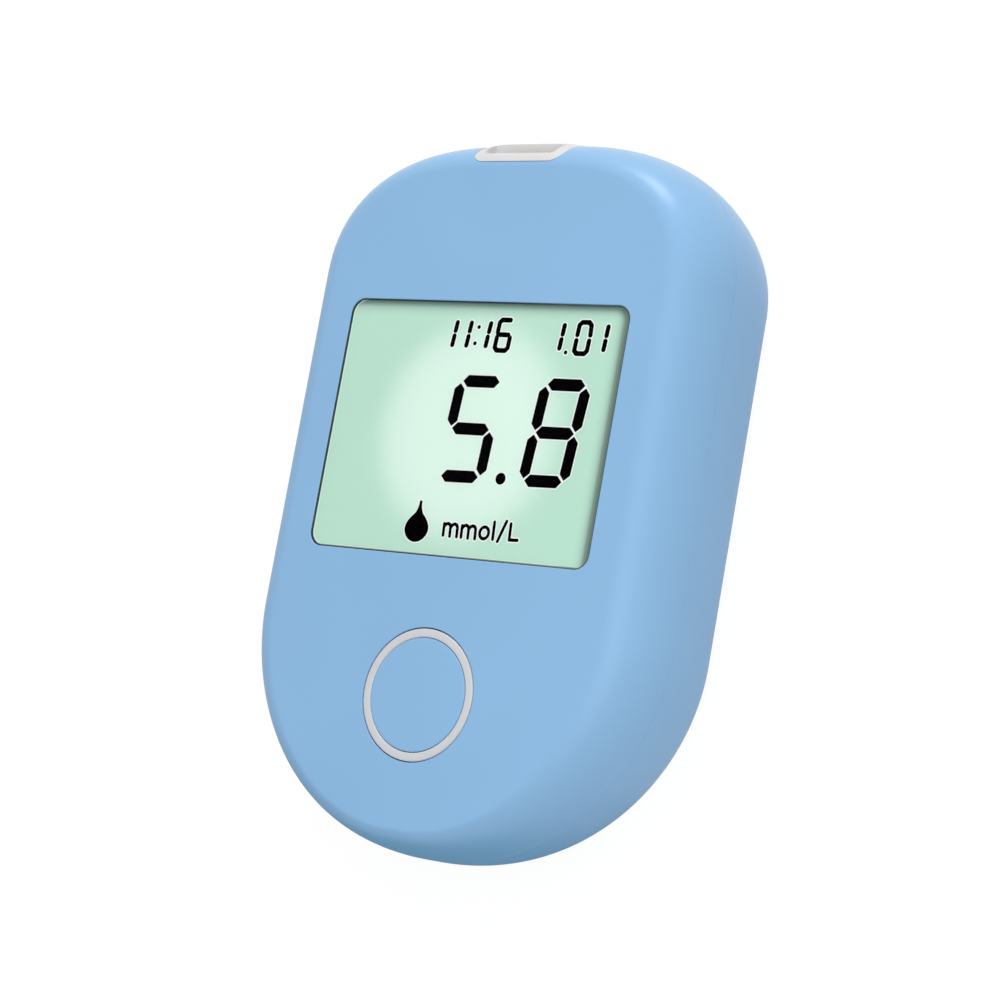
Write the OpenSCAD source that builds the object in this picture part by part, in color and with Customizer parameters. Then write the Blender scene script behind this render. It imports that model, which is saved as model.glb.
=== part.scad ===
// Blood glucose meter: an oval hand-held case with a backlit display, one round press
// button, a test-strip port in the top edge and two slim cells behind a sliding door.
// It lies on its back. +Z comes out of the face and +Y points at the strip port.
// The origin is the middle of the flat back.

/* [Case] */
// Width across the case
body_w = 62.6; // [61.6:0.1:66]
// Length from the round end to the port end
body_l = 94.6; // [94.2:0.1:98]
// Thickness from the back to the face
body_t = 20.9; // [20.9:0.1:23]
// Height of the widest section above the back
widest_z = 10.85; // [9.5:0.05:11.5]
// Height of the seam between the two covers
split_z = 12.3; // [12:0.1:12.6]
// Thickness of the side walls
wall = 2.0; // [1.6:0.1:2.2]
// Thickness of the face and the back
skin = 1.8; // [1.6:0.1:1.9]

/* [Corners] */
// Width of each corner at the port end
top_corner_w = 25.5; // [23:0.5:27]
// Length of each corner at the port end
top_corner_l = 19.6; // [17:0.2:22]
// Fullness of the corners at the port end, where 2 is an ellipse
top_power = 2.3; // [2:0.1:2.8]
// Width of each corner at the round end
bottom_corner_w = 30.0; // [28:0.5:30]
// Length of each corner at the round end
bottom_corner_l = 30.0; // [27:0.5:33]
// Fullness of the corners at the round end
bottom_power = 1.95; // [1.9:0.05:2.3]

/* [Edge rounding] */
// How far the face is set in from the widest section at the sides
front_side = 5.7; // [4:0.05:6]
// The same at the port end
front_top = 5.0; // [3:0.05:5]
// The same at the round end
front_bottom = 3.1; // [3:0.1:7]
// How far the back is set in from the widest section at the sides
back_side = 2.9; // [2.2:0.1:3.5]
// The same at the port end
back_top = 7.1; // [5:0.1:8]
// The same at the round end
back_bottom = 3.7; // [3:0.1:4.5]

/* [Display] */
// Width of the window
window_w = 44.0; // [40:0.5:44.5]
// Height of the window
window_h = 33.4; // [30:0.2:34]
// Place of the window's middle along the case
window_y = 7.4; // [6.8:0.1:8]
// Radius of the window's corners
window_r = 2.0; // [1:0.1:3]
// Depth of the clear lens below the face
window_depth = 0.2; // [0.2:0.05:0.5]

/* [Button] */
// Place of the button's middle along the case
button_y = -27.2; // [-28:0.1:-26]
// Outer radius of the pale ring
ring_r = 8.5; // [7.5:0.1:9]
// Width of the pale ring
ring_w = 1.22; // [0.8:0.02:1.6]
// Press travel of the button
button_travel = 0.4; // [0.2:0.05:0.5]

/* [Strip port] */
// Width of the white port frame
port_w = 14.2; // [12:0.1:15]
// Place of the frame's front edge along the case
port_y = 43.1; // [42.5:0.1:43.5]
// Thickness of the frame around the recess
port_rim = 1.25; // [0.8:0.05:1.5]
// Depth of the strip shelf below the face
port_shelf = 3.4; // [3:0.1:3.6]

/* [Cells] */
// Diameter of each cell
cell_d = 10.5; // [10:0.1:10.5]
// Length of each cell with its button
cell_l = 44.5; // [43.3:0.1:44.5]

/* [Hidden] */

$fn = 64;
corner_steps = 18;
edge_steps = 8;
eps = 0.5;

// Heights of the inner stack, from the face down to the board
lens_top = body_t - window_depth;
lens_flange_z = body_t - 0.7;
lens_bottom = body_t - 1.2;
gasket_t = 0.2;
film_t = 0.2;
glass_t = 0.9;
guide_t = 2.6;
film_top = lens_bottom - gasket_t;
glass_top = film_top - film_t;
glass_mid = glass_top - glass_t;
glass_bottom = glass_mid - glass_t;
guide_top = glass_bottom - film_t;
board_top = guide_top - guide_t;
board_t = 1.2;
board_bottom = board_top - board_t;
face_inside = body_t - skin;

// Lens, and the display module in its tray. The rear glass is shorter by the ledge where the
// contact strip meets the front glass.
lens_margin = 1.8;
lens_gap = 0.15;
flange_gap = 0.1;
glass_w = 50;
glass_low = window_y - 19.6;
glass_high = window_y + 19.8;
glass_gap = 0.1;
film_w = 48.4;
film_margin = 0.8;
ledge_w = 2.5;
guide_w = 46;
guide_low = glass_low + 2.2;
guide_high = glass_high - ledge_w - 0.6;
strip_w = 45;
lamp_xs = [-14, 0, 14];
lamp_w = 2;
lamp_t = 0.8;
frame_rim = 1.2;
tray_half = glass_w / 2 + glass_gap + frame_rim;
tray_low = glass_low - glass_gap - frame_rim;
tray_high = glass_high + glass_gap + frame_rim;
tray_gap = 0.2;

// Cell bay and its door
door_t = 1.6;
door_w = 24.8;
door_top = 13.0;
door_lip_z = 7.4;
door_gap = 0.2;
tongue_w = 1.1;
tongue_z = 1.0;
grip_w = 12;
grip_low = -32;
grip_pitch = 1.8;
grip_groove_w = 0.9;
grip_depth = 0.35;
grip_count = 5;
bay_w = 23.0;
bay_low = -39.2;
bay_high = 11.8;
bay_wall = 1.4;
top_wall = 2.4;
rail_w = 3.5;
rail_top = 3.0;
rail_low = 8;
end_wall = 1.6;
lip_shelf_t = 1.2;
cell_z = door_t + 0.3 + cell_d / 2;
cell_x = cell_d / 2 + 0.35;
bay_ceiling = cell_z + cell_d / 2 + 0.1;
ceiling_t = 0.8;
plate_t = 0.4;
plate_w = 9;
spring_wire = 0.35;
spring_turns = 4;
spring_l = bay_high - bay_low - 2 * plate_t - cell_l;

// Rear label in its shallow recess
label_w = 32;
label_h = 18;
label_y = 27;
label_recess = 0.15;
label_gap = 0.2;

// Joint between the covers: a tongue on the rear one in a rebate of the front one
seam_tongue_in = 1.1;
seam_tongue_h = 1.0;
seam_rebate_in = 0.95;
seam_rebate_h = 1.2;

// Screws, each as [x, y]
case_screw_places = [[22.5, 33], [-22.5, 33], [20.5, -28], [-20.5, -28]];
board_screw_places = [[13.5, 36.5], [-13.5, 36.5], [20.5, -19], [-20.5, -19]];
screw_r = 1.0;
screw_head_r = 1.9;
screw_head_t = 1.3;
screw_seat_z = 5.0;
board_screw_r = 0.8;
board_head_r = 1.6;
board_head_t = 1.0;
thread_gap = 0.03;
front_boss_r = 2.6;
rear_boss_r = 3.2;
board_boss_r = 2.3;
board_inset = 2.9;
board_low = -41;
board_high = 42.5;

// Parts under the board, each as [x, y]
microcontroller_place = [-20.8, 3];
measuring_chip_place = [0, 29];
memory_chip_place = [10, 24];
crystal_place = [-20.8, -7];
buzzer_place = [20.5, 3];
buzzer_r = 5;
buzzer_t = 3;
capacitor_places = concat([for (k = [0:3]) [3 * k - 14, 20]], [for (k = [0:3]) [-9, 2 * k + 26]]);
resistor_places = [for (k = [0:5]) [1.6 * k + 16, 16]];

// Button and its switch
bore_r = ring_r + 0.2;
collar_r = bore_r + 1.2;
collar_z = body_t - 3.3;
flange_t = 0.7;
ring_t = 1.2;
cap_gap = 0.06;
cap_t = 1.6;
skirt_r = ring_r - 1.1;
post_r = 1.6;
post_gap = 0.05;
switch_w = 6;
switch_t = 2.5;
plunger_r = 1.75;
plunger_top = board_top + 3.3;

// Strip port
shelf_z = body_t - port_shelf;
slot_w = 8.4;
slot_t = 0.8;
port_arm = 1.5;
port_base_z = body_t - 6.0;
port_lid_z = face_inside - 0.4;
port_corner_r = 1.9;
port_inner_y = 41.4;
shoulder_w = 1.6;
connector_w = 12.6;
connector_y = 31.4;
contact_xs = [-2.6, -1.3, 0, 1.3, 2.6];
finger_w = 0.6;
finger_t = 0.2;
finger_l = 8.2;

// Colours
case_blue = [0.55, 0.71, 0.86];
pale_grey = [0.80, 0.81, 0.83];
warm_white = [0.90, 0.89, 0.88];
board_green = [0.10, 0.38, 0.24];
chip_black = [0.12, 0.12, 0.13];
steel = [0.72, 0.73, 0.75];

// ---- The case form ----

function corner(w, l, power, angle) =
    [w * pow(cos(angle), 2 / power), l * pow(sin(angle), 2 / power)];

function corner_points(w, l, power) =
    [for (k = [0:corner_steps]) corner(w, l, power, 90 * k / corner_steps)];

// Closed outline of the case, set in from the widest section at its sides and ends
function outline(side, top, bottom) =
    let (
        half_w = body_w / 2 - side,
        high = body_l / 2 - top,
        low = body_l / 2 - bottom,
        tw = top_corner_w - side,
        tl = top_corner_l - top,
        bw = bottom_corner_w - side,
        bl = bottom_corner_l - bottom,
        upper = [for (p = corner_points(tw, tl, top_power)) [half_w - tw + p.x, high - tl + p.y]],
        lower = [for (p = corner_points(bw, bl, bottom_power)) [half_w - bw + p.x, low - bl + p.y]]
    )
    concat(
        upper,
        [for (k = [corner_steps:-1:0]) [-upper[k].x, upper[k].y]],
        [for (p = lower) [-p.x, -p.y]],
        [for (k = [corner_steps:-1:0]) [lower[k].x, -lower[k].y]]
    );

function ring(side, top, bottom, z) = [for (p = outline(side, top, bottom)) [p.x, p.y, z]];

// Rings of the rounded front, from angle 0 at the widest section to 90 at the face.
// An inner surface is set in by in_wall at the sides and in_skin below the face.
function front_ring(angle, in_wall = 0, in_skin = 0) =
    let (f = 1 - cos(angle))
    ring(
        in_wall + f * (front_side - in_wall),
        in_wall + f * (front_top - in_wall),
        in_wall + f * (front_bottom - in_wall),
        widest_z + (body_t - in_skin - widest_z) * sin(angle)
    );

function back_ring(angle, in_wall = 0, in_skin = 0) =
    let (f = 1 - cos(angle))
    ring(
        in_wall + f * (back_side - in_wall),
        in_wall + f * (back_top - in_wall),
        in_wall + f * (back_bottom - in_wall),
        widest_z - (widest_z - in_skin) * sin(angle)
    );

function front_angle(z, in_skin = 0) = asin((z - widest_z) / (body_t - in_skin - widest_z));

function front_rings(from_z, in_wall = 0, in_skin = 0) =
    let (start = front_angle(from_z, in_skin))
    [for (k = [0:edge_steps]) front_ring(start + (90 - start) * k / edge_steps, in_wall, in_skin)];

function back_rings(in_wall = 0, in_skin = 0) =
    [for (k = [edge_steps:-1:1]) back_ring(90 * k / edge_steps, in_wall, in_skin)];

// Solid through a stack of rings that all have the same number of points
module loft(rings) {
    n = len(rings[0]);
    last = len(rings) - 1;
    sides = [
        for (r = [0:last - 1], k = [0:n - 1])
        let (
            a = r * n + k,
            b = r * n + (k + 1) % n,
            c = b + n,
            d = a + n
        )
        each [[a, d, c], [a, c, b]]
    ];
    floor_face = [for (k = [0:n - 1]) k];
    roof_face = [for (k = [n - 1:-1:0]) last * n + k];
    polyhedron(points = [for (r = rings) each r], faces = concat([floor_face], sides, [roof_face]));
}

module case_form() {
    loft(concat(back_rings(), front_rings(widest_z)));
}

// ---- Small shared shapes ----

// Box between two corners
module block(low, high) {
    translate(low) cube([high.x - low.x, high.y - low.y, high.z - low.z]);
}

// The same box on both sides of the middle plane
module block_pair(low, high) {
    block(low, high);
    mirror([1, 0, 0]) block(low, high);
}

module disc(r, low, high) {
    translate([0, 0, low]) cylinder(r = r, h = high - low);
}

module tube(r_out, r_in, low, high) {
    difference() {
        disc(r_out, low, high);
        disc(r_in, low - eps, high + eps);
    }
}

module rounded_rect(w, h, r) {
    square([w - 2 * r, h], center = true);
    square([w, h - 2 * r], center = true);
    for (sx = [-1, 1], sy = [-1, 1])
        translate([sx * (w / 2 - r), sy * (h / 2 - r)]) circle(r = r);
}

module rounded_plate(w, h, r, low, high) {
    translate([0, 0, low]) linear_extrude(height = high - low) rounded_rect(w, h, r);
}

module at_each(places) {
    for (p = places)
        translate([p.x, p.y, 0]) children();
}

// ---- Case ----

// Space that the port frame takes out of the case, grown by a gap on every side
module port_space(gap) {
    w = port_w + 2 * gap;
    intersection() {
        translate([0, port_y - gap + 10, 0])
            rounded_plate(w, 20, port_corner_r, port_base_z - gap, body_t + 1);
        translate([0, 60, port_base_z - gap + 10])
            rotate([90, 0, 0]) rounded_plate(w, 20, 1.5, 0, 30);
    }
}

module front_cover() {
    color(case_blue) difference() {
        union() {
            difference() {
                loft(front_rings(split_z));
                loft(front_rings(split_z - 1, wall, skin));
                // rebate for the tongue of the rear cover
                translate([0, 0, split_z - eps]) linear_extrude(height = seam_rebate_h + eps)
                    polygon(outline(seam_rebate_in, seam_rebate_in, seam_rebate_in));
            }
            at_each(case_screw_places) disc(front_boss_r, split_z, face_inside + eps);
            at_each(board_screw_places) disc(board_boss_r, board_top, face_inside + eps);
            translate([0, button_y, 0]) disc(collar_r, collar_z, face_inside + eps);
        }
        // window and, behind it, the rebate for the lens flange
        translate([0, window_y, 0]) {
            rounded_plate(window_w, window_h, window_r, face_inside - 1, body_t + 1);
            lens_flange(flange_gap, face_inside - 1);
        }
        // pocket for the display tray
        block([-tray_half - tray_gap, tray_low - tray_gap, face_inside - 1],
            [tray_half + tray_gap, tray_high + tray_gap, lens_bottom]);
        translate([0, button_y, 0]) disc(bore_r, collar_z - 1, body_t + 1);
        at_each(case_screw_places) disc(screw_r + thread_gap, split_z - 1, face_inside - 1.2);
        at_each(board_screw_places) disc(board_screw_r + thread_gap, board_top - 1, face_inside - 1);
        port_space(0.1);
    }
}

module rear_cover() {
    color(case_blue) difference() {
        union() {
            difference() {
                loft(concat(back_rings(), [front_ring(0), front_ring(front_angle(split_z))]));
                loft(concat(back_rings(wall, skin), [front_ring(0, wall), front_ring(15, wall)]));
            }
            // tongue that enters the front cover
            translate([0, 0, split_z - eps]) linear_extrude(height = seam_tongue_h + eps) difference() {
                polygon(outline(seam_tongue_in, seam_tongue_in, seam_tongue_in));
                polygon(outline(wall, wall, wall));
            }
            at_each(case_screw_places) disc(rear_boss_r, skin - eps, split_z - 0.05);
            intersection() {
                case_form();
                bay_walls();
            }
        }
        block([-bay_w / 2, bay_low, -1], [bay_w / 2, bay_high, bay_ceiling]);
        door_space();
        at_each(case_screw_places) {
            disc(screw_r + 0.2, 1, split_z + 1);
            disc(screw_head_r + 0.3, -1, screw_seat_z);
        }
        for (side = [-1, 1])
            translate([side * cell_x, 0, 0])
                block([-1.3, bay_high - 0.6, bay_ceiling - 1], [1.3, bay_high + 0.1, board_bottom]);
        rounded_label(label_gap, -1);
    }
}

// Walls, ceiling and rails around the cells, and the shelf behind the door's end
module bay_walls() {
    half = bay_w / 2;
    outer = half + rail_w;
    shelf_low = door_lip_z + door_gap;
    shelf_high = shelf_low + lip_shelf_t;
    block([-half - bay_wall, bay_low - end_wall, 0],
        [half + bay_wall, bay_high + top_wall, bay_ceiling + ceiling_t]);
    block([-outer, bay_low - rail_low, 0], [outer, bay_high + top_wall, rail_top]);
    block_pair([door_w / 2 + door_gap, bay_low - rail_low, 0], [outer, bay_low, shelf_high]);
    block([-outer, bay_low - rail_low, shelf_low], [outer, bay_low, shelf_high]);
}

// Room for the door, its tongues and its way out past the round end
module door_space() {
    half = door_w / 2 + door_gap;
    block([-half, -60, -1], [half, door_top + door_gap, door_t + door_gap]);
    block([-half - tongue_w, -60, tongue_z - door_gap], [half + tongue_w, door_top - 0.8, door_t + door_gap]);
    block([-half, -60, -1], [half, bay_low - end_wall, door_lip_z + door_gap]);
}

module battery_door() {
    half = door_w / 2;
    color(case_blue) difference() {
        union() {
            intersection() {
                difference() {
                    case_form();
                    loft(concat(back_rings(door_t, door_t), [front_ring(0, door_t)]));
                }
                union() {
                    block([-half, -60, -1], [half, door_top, door_t]);
                    block([-half, -60, -1], [half, bay_low - end_wall - door_gap, door_lip_z]);
                }
            }
            block_pair([half - 0.5, bay_low + 2, tongue_z], [half + tongue_w, door_top - 1.2, door_t]);
        }
        // thumb grip
        for (k = [0:grip_count - 1])
            translate([0, grip_low + grip_pitch * k, 0])
                block([-grip_w / 2, 0, -1], [grip_w / 2, grip_groove_w, grip_depth]);
    }
}

// Label outline, grown by a gap on every side for its recess
module rounded_label(gap, low) {
    translate([0, label_y, 0]) rounded_plate(label_w + 2 * gap, label_h + 2 * gap, 2, low, label_recess);
}

module rear_label() {
    color("white") rounded_label(0, 0.03);
}

// ---- Display ----

module lens_flange(gap, low) {
    grow = 2 * (lens_margin + gap);
    rounded_plate(window_w + grow, window_h + grow, 1.5 + gap, low, lens_flange_z);
}

// Clear plate whose raised middle fills the window from behind
module window_lens() {
    color([0.92, 0.96, 0.95, 0.4]) translate([0, window_y, 0]) {
        lens_flange(0, lens_bottom);
        rounded_plate(window_w - 2 * lens_gap, window_h - 2 * lens_gap, window_r - lens_gap,
            lens_bottom, lens_top);
    }
}

module lens_gasket() {
    color(chip_black) translate([0, window_y, 0]) difference() {
        rounded_plate(window_w + 3, window_h + 3, 1, film_top, lens_bottom);
        rounded_plate(window_w + 1.2, window_h + 1.2, 1, film_top - eps, lens_bottom + eps);
    }
}

module front_polariser() {
    color([0.74, 0.88, 0.80])
        block([-film_w / 2, glass_low + film_margin, glass_top],
            [film_w / 2, glass_high - film_margin, film_top]);
}

module lcd_front_glass() {
    color([0.80, 0.90, 0.86, 0.6])
        block([-glass_w / 2, glass_low, glass_mid], [glass_w / 2, glass_high, glass_top]);
}

module lcd_rear_glass() {
    color([0.80, 0.90, 0.86, 0.6])
        block([-glass_w / 2, glass_low, glass_bottom], [glass_w / 2, glass_high - ledge_w, glass_mid]);
}

module rear_polariser() {
    color([0.62, 0.66, 0.64])
        block([-guide_w / 2, guide_low, guide_top], [guide_w / 2, guide_high, glass_bottom]);
}

// Tray that seats the glass over the light guide and leads the contact strip to the board
module lcd_frame() {
    half = glass_w / 2 + glass_gap;
    guide_half = guide_w / 2 + 0.2;
    color(warm_white) difference() {
        block([-tray_half, tray_low, board_top], [tray_half, tray_high, glass_top + 0.1]);
        block([-half, glass_low - glass_gap, glass_bottom], [half, glass_high + glass_gap, body_t]);
        block([-guide_half, guide_low - 0.2, board_top - eps], [guide_half, guide_high + 0.2, body_t]);
        block([-guide_half, glass_high - ledge_w + 0.1, board_top - eps],
            [guide_half, glass_high - 0.4, body_t]);
        // pockets for the lamps at the low edge of the light guide
        for (x = lamp_xs)
            translate([x, guide_low, 0])
                block([-lamp_w / 2 - 0.2, -1.6, board_top - eps],
                    [lamp_w / 2 + 0.2, 0, board_top + lamp_t + 0.2]);
    }
}

module light_guide() {
    color([0.90, 0.97, 0.92])
        block([-guide_w / 2, guide_low, board_top], [guide_w / 2, guide_high, guide_top]);
}

module backlight_leds() {
    color("ivory") for (x = lamp_xs)
        translate([x, guide_low, 0])
            block([-lamp_w / 2, -1.3, board_top], [lamp_w / 2, -0.3, board_top + lamp_t]);
}

module contact_strip() {
    color("hotpink")
        block([-strip_w / 2, glass_high - ledge_w + 0.3, board_top],
            [strip_w / 2, glass_high - 0.6, glass_mid]);
}

// ---- Board ----

module main_board() {
    color(board_green) difference() {
        intersection() {
            translate([0, 0, board_bottom]) linear_extrude(height = board_t)
                polygon(outline(board_inset, board_inset, board_inset));
            block([-body_w, board_low, 0], [body_w, board_high, body_t]);
        }
        at_each(case_screw_places) disc(front_boss_r + 0.3, 0, body_t);
        at_each(board_screw_places) disc(board_screw_r + 0.15, 0, body_t);
        for (side = [-1, 1])
            translate([side * cell_x, 0, 0])
                block([-1.3, bay_high - 0.6, 0], [1.3, bay_high + 0.2, body_t]);
    }
}

// Flat chip under the board with a row of legs on two sides
module chip(w, l, t, legs) {
    pitch = (l - 1) / (legs - 1);
    block([-w / 2, -l / 2, board_bottom - t], [w / 2, l / 2, board_bottom]);
    for (side = [-1, 1], k = [0:legs - 1])
        translate([side * (w / 2 + 0.3), -l / 2 + 0.5 + pitch * k, board_bottom - 0.25])
            cube([0.8, pitch / 2, 0.5], center = true);
}

module microcontroller() {
    color(chip_black) at_each([microcontroller_place]) chip(9, 10, 1.4, 10);
}

module measuring_chip() {
    color(chip_black) at_each([measuring_chip_place]) chip(4, 5, 1.2, 6);
}

module memory_chip() {
    color(chip_black) at_each([memory_chip_place]) chip(4, 5, 1.2, 4);
}

module crystal() {
    color(steel) at_each([crystal_place]) block([-2.5, -1.6, board_bottom - 1], [2.5, 1.6, board_bottom]);
}

module buzzer() {
    color(chip_black) at_each([buzzer_place]) difference() {
        disc(buzzer_r, board_bottom - buzzer_t, board_bottom);
        disc(0.8, board_bottom - buzzer_t - 1, board_bottom - buzzer_t + 1);
    }
}

module board_capacitors() {
    color("tan") at_each(capacitor_places)
        block([-0.8, -0.4, board_bottom - 0.8], [0.8, 0.4, board_bottom]);
}

module board_resistors() {
    color(chip_black) at_each(resistor_places)
        block([-0.4, -0.8, board_bottom - 0.4], [0.4, 0.8, board_bottom]);
}

// ---- Button ----

module button_cap() {
    color(case_blue) translate([0, button_y, 0]) {
        disc(ring_r - ring_w - cap_gap, body_t - cap_t, body_t);
        disc(ring_r - cap_gap, body_t - cap_t - eps, body_t - ring_t - 0.04);
        tube(ring_r - cap_gap, skirt_r, collar_z - flange_t, body_t - cap_t);
        tube(collar_r - 0.3, skirt_r, collar_z - flange_t - 0.05, collar_z - 0.05);
        disc(post_r, plunger_top + post_gap, body_t - cap_t);
    }
}

module button_ring() {
    color(pale_grey) translate([0, button_y, 0]) tube(ring_r, ring_r - ring_w, body_t - ring_t, body_t);
}

module switch_body() {
    half = switch_w / 2;
    color(steel) translate([0, button_y, 0]) {
        difference() {
            block([-half, -half, board_top], [half, half, board_top + switch_t]);
            disc(plunger_r + 0.1, board_top + 0.4, body_t);
        }
        for (sx = [-1, 1], sy = [-1, 1])
            translate([sx * (half + 0.5), sy * 2.2, board_top + 0.2]) cube([1.2, 0.8, 0.4], center = true);
    }
}

module switch_plunger() {
    color(chip_black) translate([0, button_y, 0]) disc(plunger_r, board_top + 1.0, plunger_top);
}

// ---- Strip port ----

module port_frame() {
    recess_half = port_w / 2 - port_arm;
    color(warm_white) difference() {
        union() {
            intersection() {
                case_form();
                port_space(0);
            }
            // shoulder behind the cover's edge, and the throat that meets the connector
            block([-port_w / 2 - shoulder_w, port_inner_y, port_base_z],
                [port_w / 2 + shoulder_w, port_y - 0.2, port_lid_z]);
            block([-port_w / 2 + 0.3, port_inner_y, port_base_z],
                [port_w / 2 - 0.3, port_y + 1, port_lid_z]);
        }
        block([-recess_half, port_y + port_rim, shelf_z], [recess_half, 60, body_t + 1]);
        block([-slot_w / 2, port_inner_y - 1, shelf_z], [slot_w / 2, 60, shelf_z + slot_t]);
    }
}

module strip_connector() {
    half = connector_w / 2;
    color(warm_white) difference() {
        block([-half, connector_y, board_top], [half, port_inner_y - 0.1, face_inside - 0.1]);
        block([-slot_w / 2 + 0.2, connector_y + 1.4, shelf_z], [slot_w / 2 - 0.2, 60, shelf_z + slot_t]);
        // grooves that the spring fingers lie in
        for (x = contact_xs)
            translate([x, 0, 0])
                block([-finger_w / 2 - 0.1, connector_y - 1, shelf_z - 1],
                    [finger_w / 2 + 0.1, port_inner_y - 1.2, shelf_z + 0.1]);
    }
}

// Bent spring fingers: a foot on the board, an upright tail and a finger under the strip
module strip_contacts() {
    half = finger_w / 2;
    finger_z = shelf_z - 0.4;
    color("gold") for (x = contact_xs) translate([x, connector_y, 0]) {
        block([-half, -1.6, board_top], [half, -0.1, board_top + finger_t]);
        block([-half, -0.1 - finger_t, board_top], [half, -0.1, finger_z]);
        block([-half, -0.1 - finger_t, finger_z - finger_t], [half, finger_l, finger_z]);
        block([-half, finger_l - 0.6, finger_z - 0.1], [half, finger_l, shelf_z - 0.05]);
    }
}

// ---- Cells and their contacts ----

module cell() {
    r = cell_d / 2;
    rotate_extrude() polygon([[0, 0], [r - 0.6, 0], [r, 0.5], [r, cell_l - 1.9], [r - 0.8, cell_l - 1.2],
        [1.9, cell_l - 1.2], [1.9, cell_l - 0.2], [1.7, cell_l], [0, cell_l]]);
}

module left_cell() {
    color([0.20, 0.42, 0.68]) translate([-cell_x, bay_high - plate_t - cell_l, cell_z])
        rotate([-90, 0, 0]) cell();
}

module right_cell() {
    color([0.20, 0.42, 0.68]) translate([cell_x, bay_low + plate_t + cell_l, cell_z])
        rotate([90, 0, 0]) cell();
}

// Two plates at the port end of the bay, each with a tail through the board
module upper_contacts() {
    color(steel) for (side = [-1, 1]) translate([side * cell_x, 0, 0]) {
        block([-plate_w / 2, bay_high - plate_t, cell_z - 4], [plate_w / 2, bay_high, cell_z + 4]);
        block([-1, bay_high - plate_t, cell_z + 3], [1, bay_high, board_top - 0.1]);
    }
}

module bridge_contact() {
    half = cell_x + plate_w / 2;
    color(steel) block([-half, bay_low, cell_z - 4], [half, bay_low + plate_t, cell_z + 4]);
}

// Conical coil along +Z, swept as a tube round a helix that closes to a flat end turn
function coil_radius(u) = 3.7 - 1.1 * u;

function coil_point(u, length) =
    [coil_radius(u) * cos(360 * spring_turns * u), coil_radius(u) * sin(360 * spring_turns * u), length * u];

module coil(length) {
    sides = 8;
    steps = 16 * spring_turns;
    rings = [
        for (k = [0:steps])
        let (
            u = k / steps,
            turn = 360 * spring_turns * u,
            c = coil_point(u, length - 2 * spring_wire),
            out = [cos(turn), sin(turn), 0]
        )
        [for (s = [0:sides - 1]) let (a = -360 * s / sides)
            c + spring_wire * (cos(a) * out + sin(a) * [0, 0, 1]) + [0, 0, spring_wire]]
    ];
    loft(rings);
}

module upper_spring() {
    color(steel) translate([cell_x, bay_high - plate_t, cell_z]) rotate([90, 0, 0]) coil(spring_l);
}

module lower_spring() {
    color(steel) translate([-cell_x, bay_low + plate_t, cell_z]) rotate([-90, 0, 0]) coil(spring_l);
}

// ---- Screws ----

// Pan-head screw driven up from below, with a cross slot in its head
module screw(r, head_r, head_t, seat_z, tip_z) {
    difference() {
        union() {
            disc(head_r, seat_z - head_t, seat_z);
            disc(r, seat_z - 0.1, tip_z);
        }
        for (angle = [0, 90])
            rotate([0, 0, angle])
                block([-head_r * 0.6, -0.2, seat_z - head_t - 1], [head_r * 0.6, 0.2, seat_z - head_t + 0.6]);
    }
}

module case_screws() {
    color(steel) at_each(case_screw_places)
        screw(screw_r, screw_head_r, screw_head_t, screw_seat_z, face_inside - 1.8);
}

module board_screws() {
    color(steel) at_each(board_screw_places)
        screw(board_screw_r, board_head_r, board_head_t, board_bottom, face_inside - 1.5);
}

front_cover();
rear_cover();
battery_door();
rear_label();
window_lens();
lens_gasket();
front_polariser();
lcd_front_glass();
lcd_rear_glass();
rear_polariser();
lcd_frame();
light_guide();
backlight_leds();
contact_strip();
main_board();
microcontroller();
measuring_chip();
memory_chip();
crystal();
buzzer();
board_capacitors();
board_resistors();
button_cap();
button_ring();
switch_body();
switch_plunger();
port_frame();
strip_connector();
strip_contacts();
upper_contacts();
bridge_contact();
upper_spring();
lower_spring();
left_cell();
right_cell();
case_screws();
board_screws();
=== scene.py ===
import math
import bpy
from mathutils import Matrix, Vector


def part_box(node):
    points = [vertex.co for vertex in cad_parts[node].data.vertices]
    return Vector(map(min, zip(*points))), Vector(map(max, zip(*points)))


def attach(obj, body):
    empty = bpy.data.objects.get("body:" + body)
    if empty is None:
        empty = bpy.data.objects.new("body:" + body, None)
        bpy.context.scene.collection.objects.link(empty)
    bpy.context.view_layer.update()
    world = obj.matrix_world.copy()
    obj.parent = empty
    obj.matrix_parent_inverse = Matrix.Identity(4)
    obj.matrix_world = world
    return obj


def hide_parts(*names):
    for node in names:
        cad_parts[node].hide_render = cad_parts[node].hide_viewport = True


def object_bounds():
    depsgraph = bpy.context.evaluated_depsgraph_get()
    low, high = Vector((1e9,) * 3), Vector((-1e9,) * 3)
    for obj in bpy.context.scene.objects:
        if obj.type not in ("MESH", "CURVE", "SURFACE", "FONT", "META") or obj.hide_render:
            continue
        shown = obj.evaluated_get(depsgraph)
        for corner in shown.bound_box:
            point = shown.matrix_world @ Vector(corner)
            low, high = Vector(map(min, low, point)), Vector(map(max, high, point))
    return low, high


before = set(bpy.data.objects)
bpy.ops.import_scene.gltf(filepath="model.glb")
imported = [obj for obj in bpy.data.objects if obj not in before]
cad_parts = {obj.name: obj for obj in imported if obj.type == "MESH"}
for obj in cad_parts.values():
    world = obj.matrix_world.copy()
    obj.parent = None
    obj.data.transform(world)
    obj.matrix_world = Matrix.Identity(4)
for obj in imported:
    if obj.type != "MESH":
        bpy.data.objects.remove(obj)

from types import SimpleNamespace

import bmesh
import bpy
from mathutils import Matrix, Vector

bl_info = {
    "name": "Blood glucose meter",
    "version": (1, 0, 0),
    "blender": (4, 5, 0),
    "location": "3D View > Sidebar > Glucose meter",
    "description": "Builds the covers, window, display, button, strip port and finishes of a glucose meter",
    "category": "Object",
}

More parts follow.
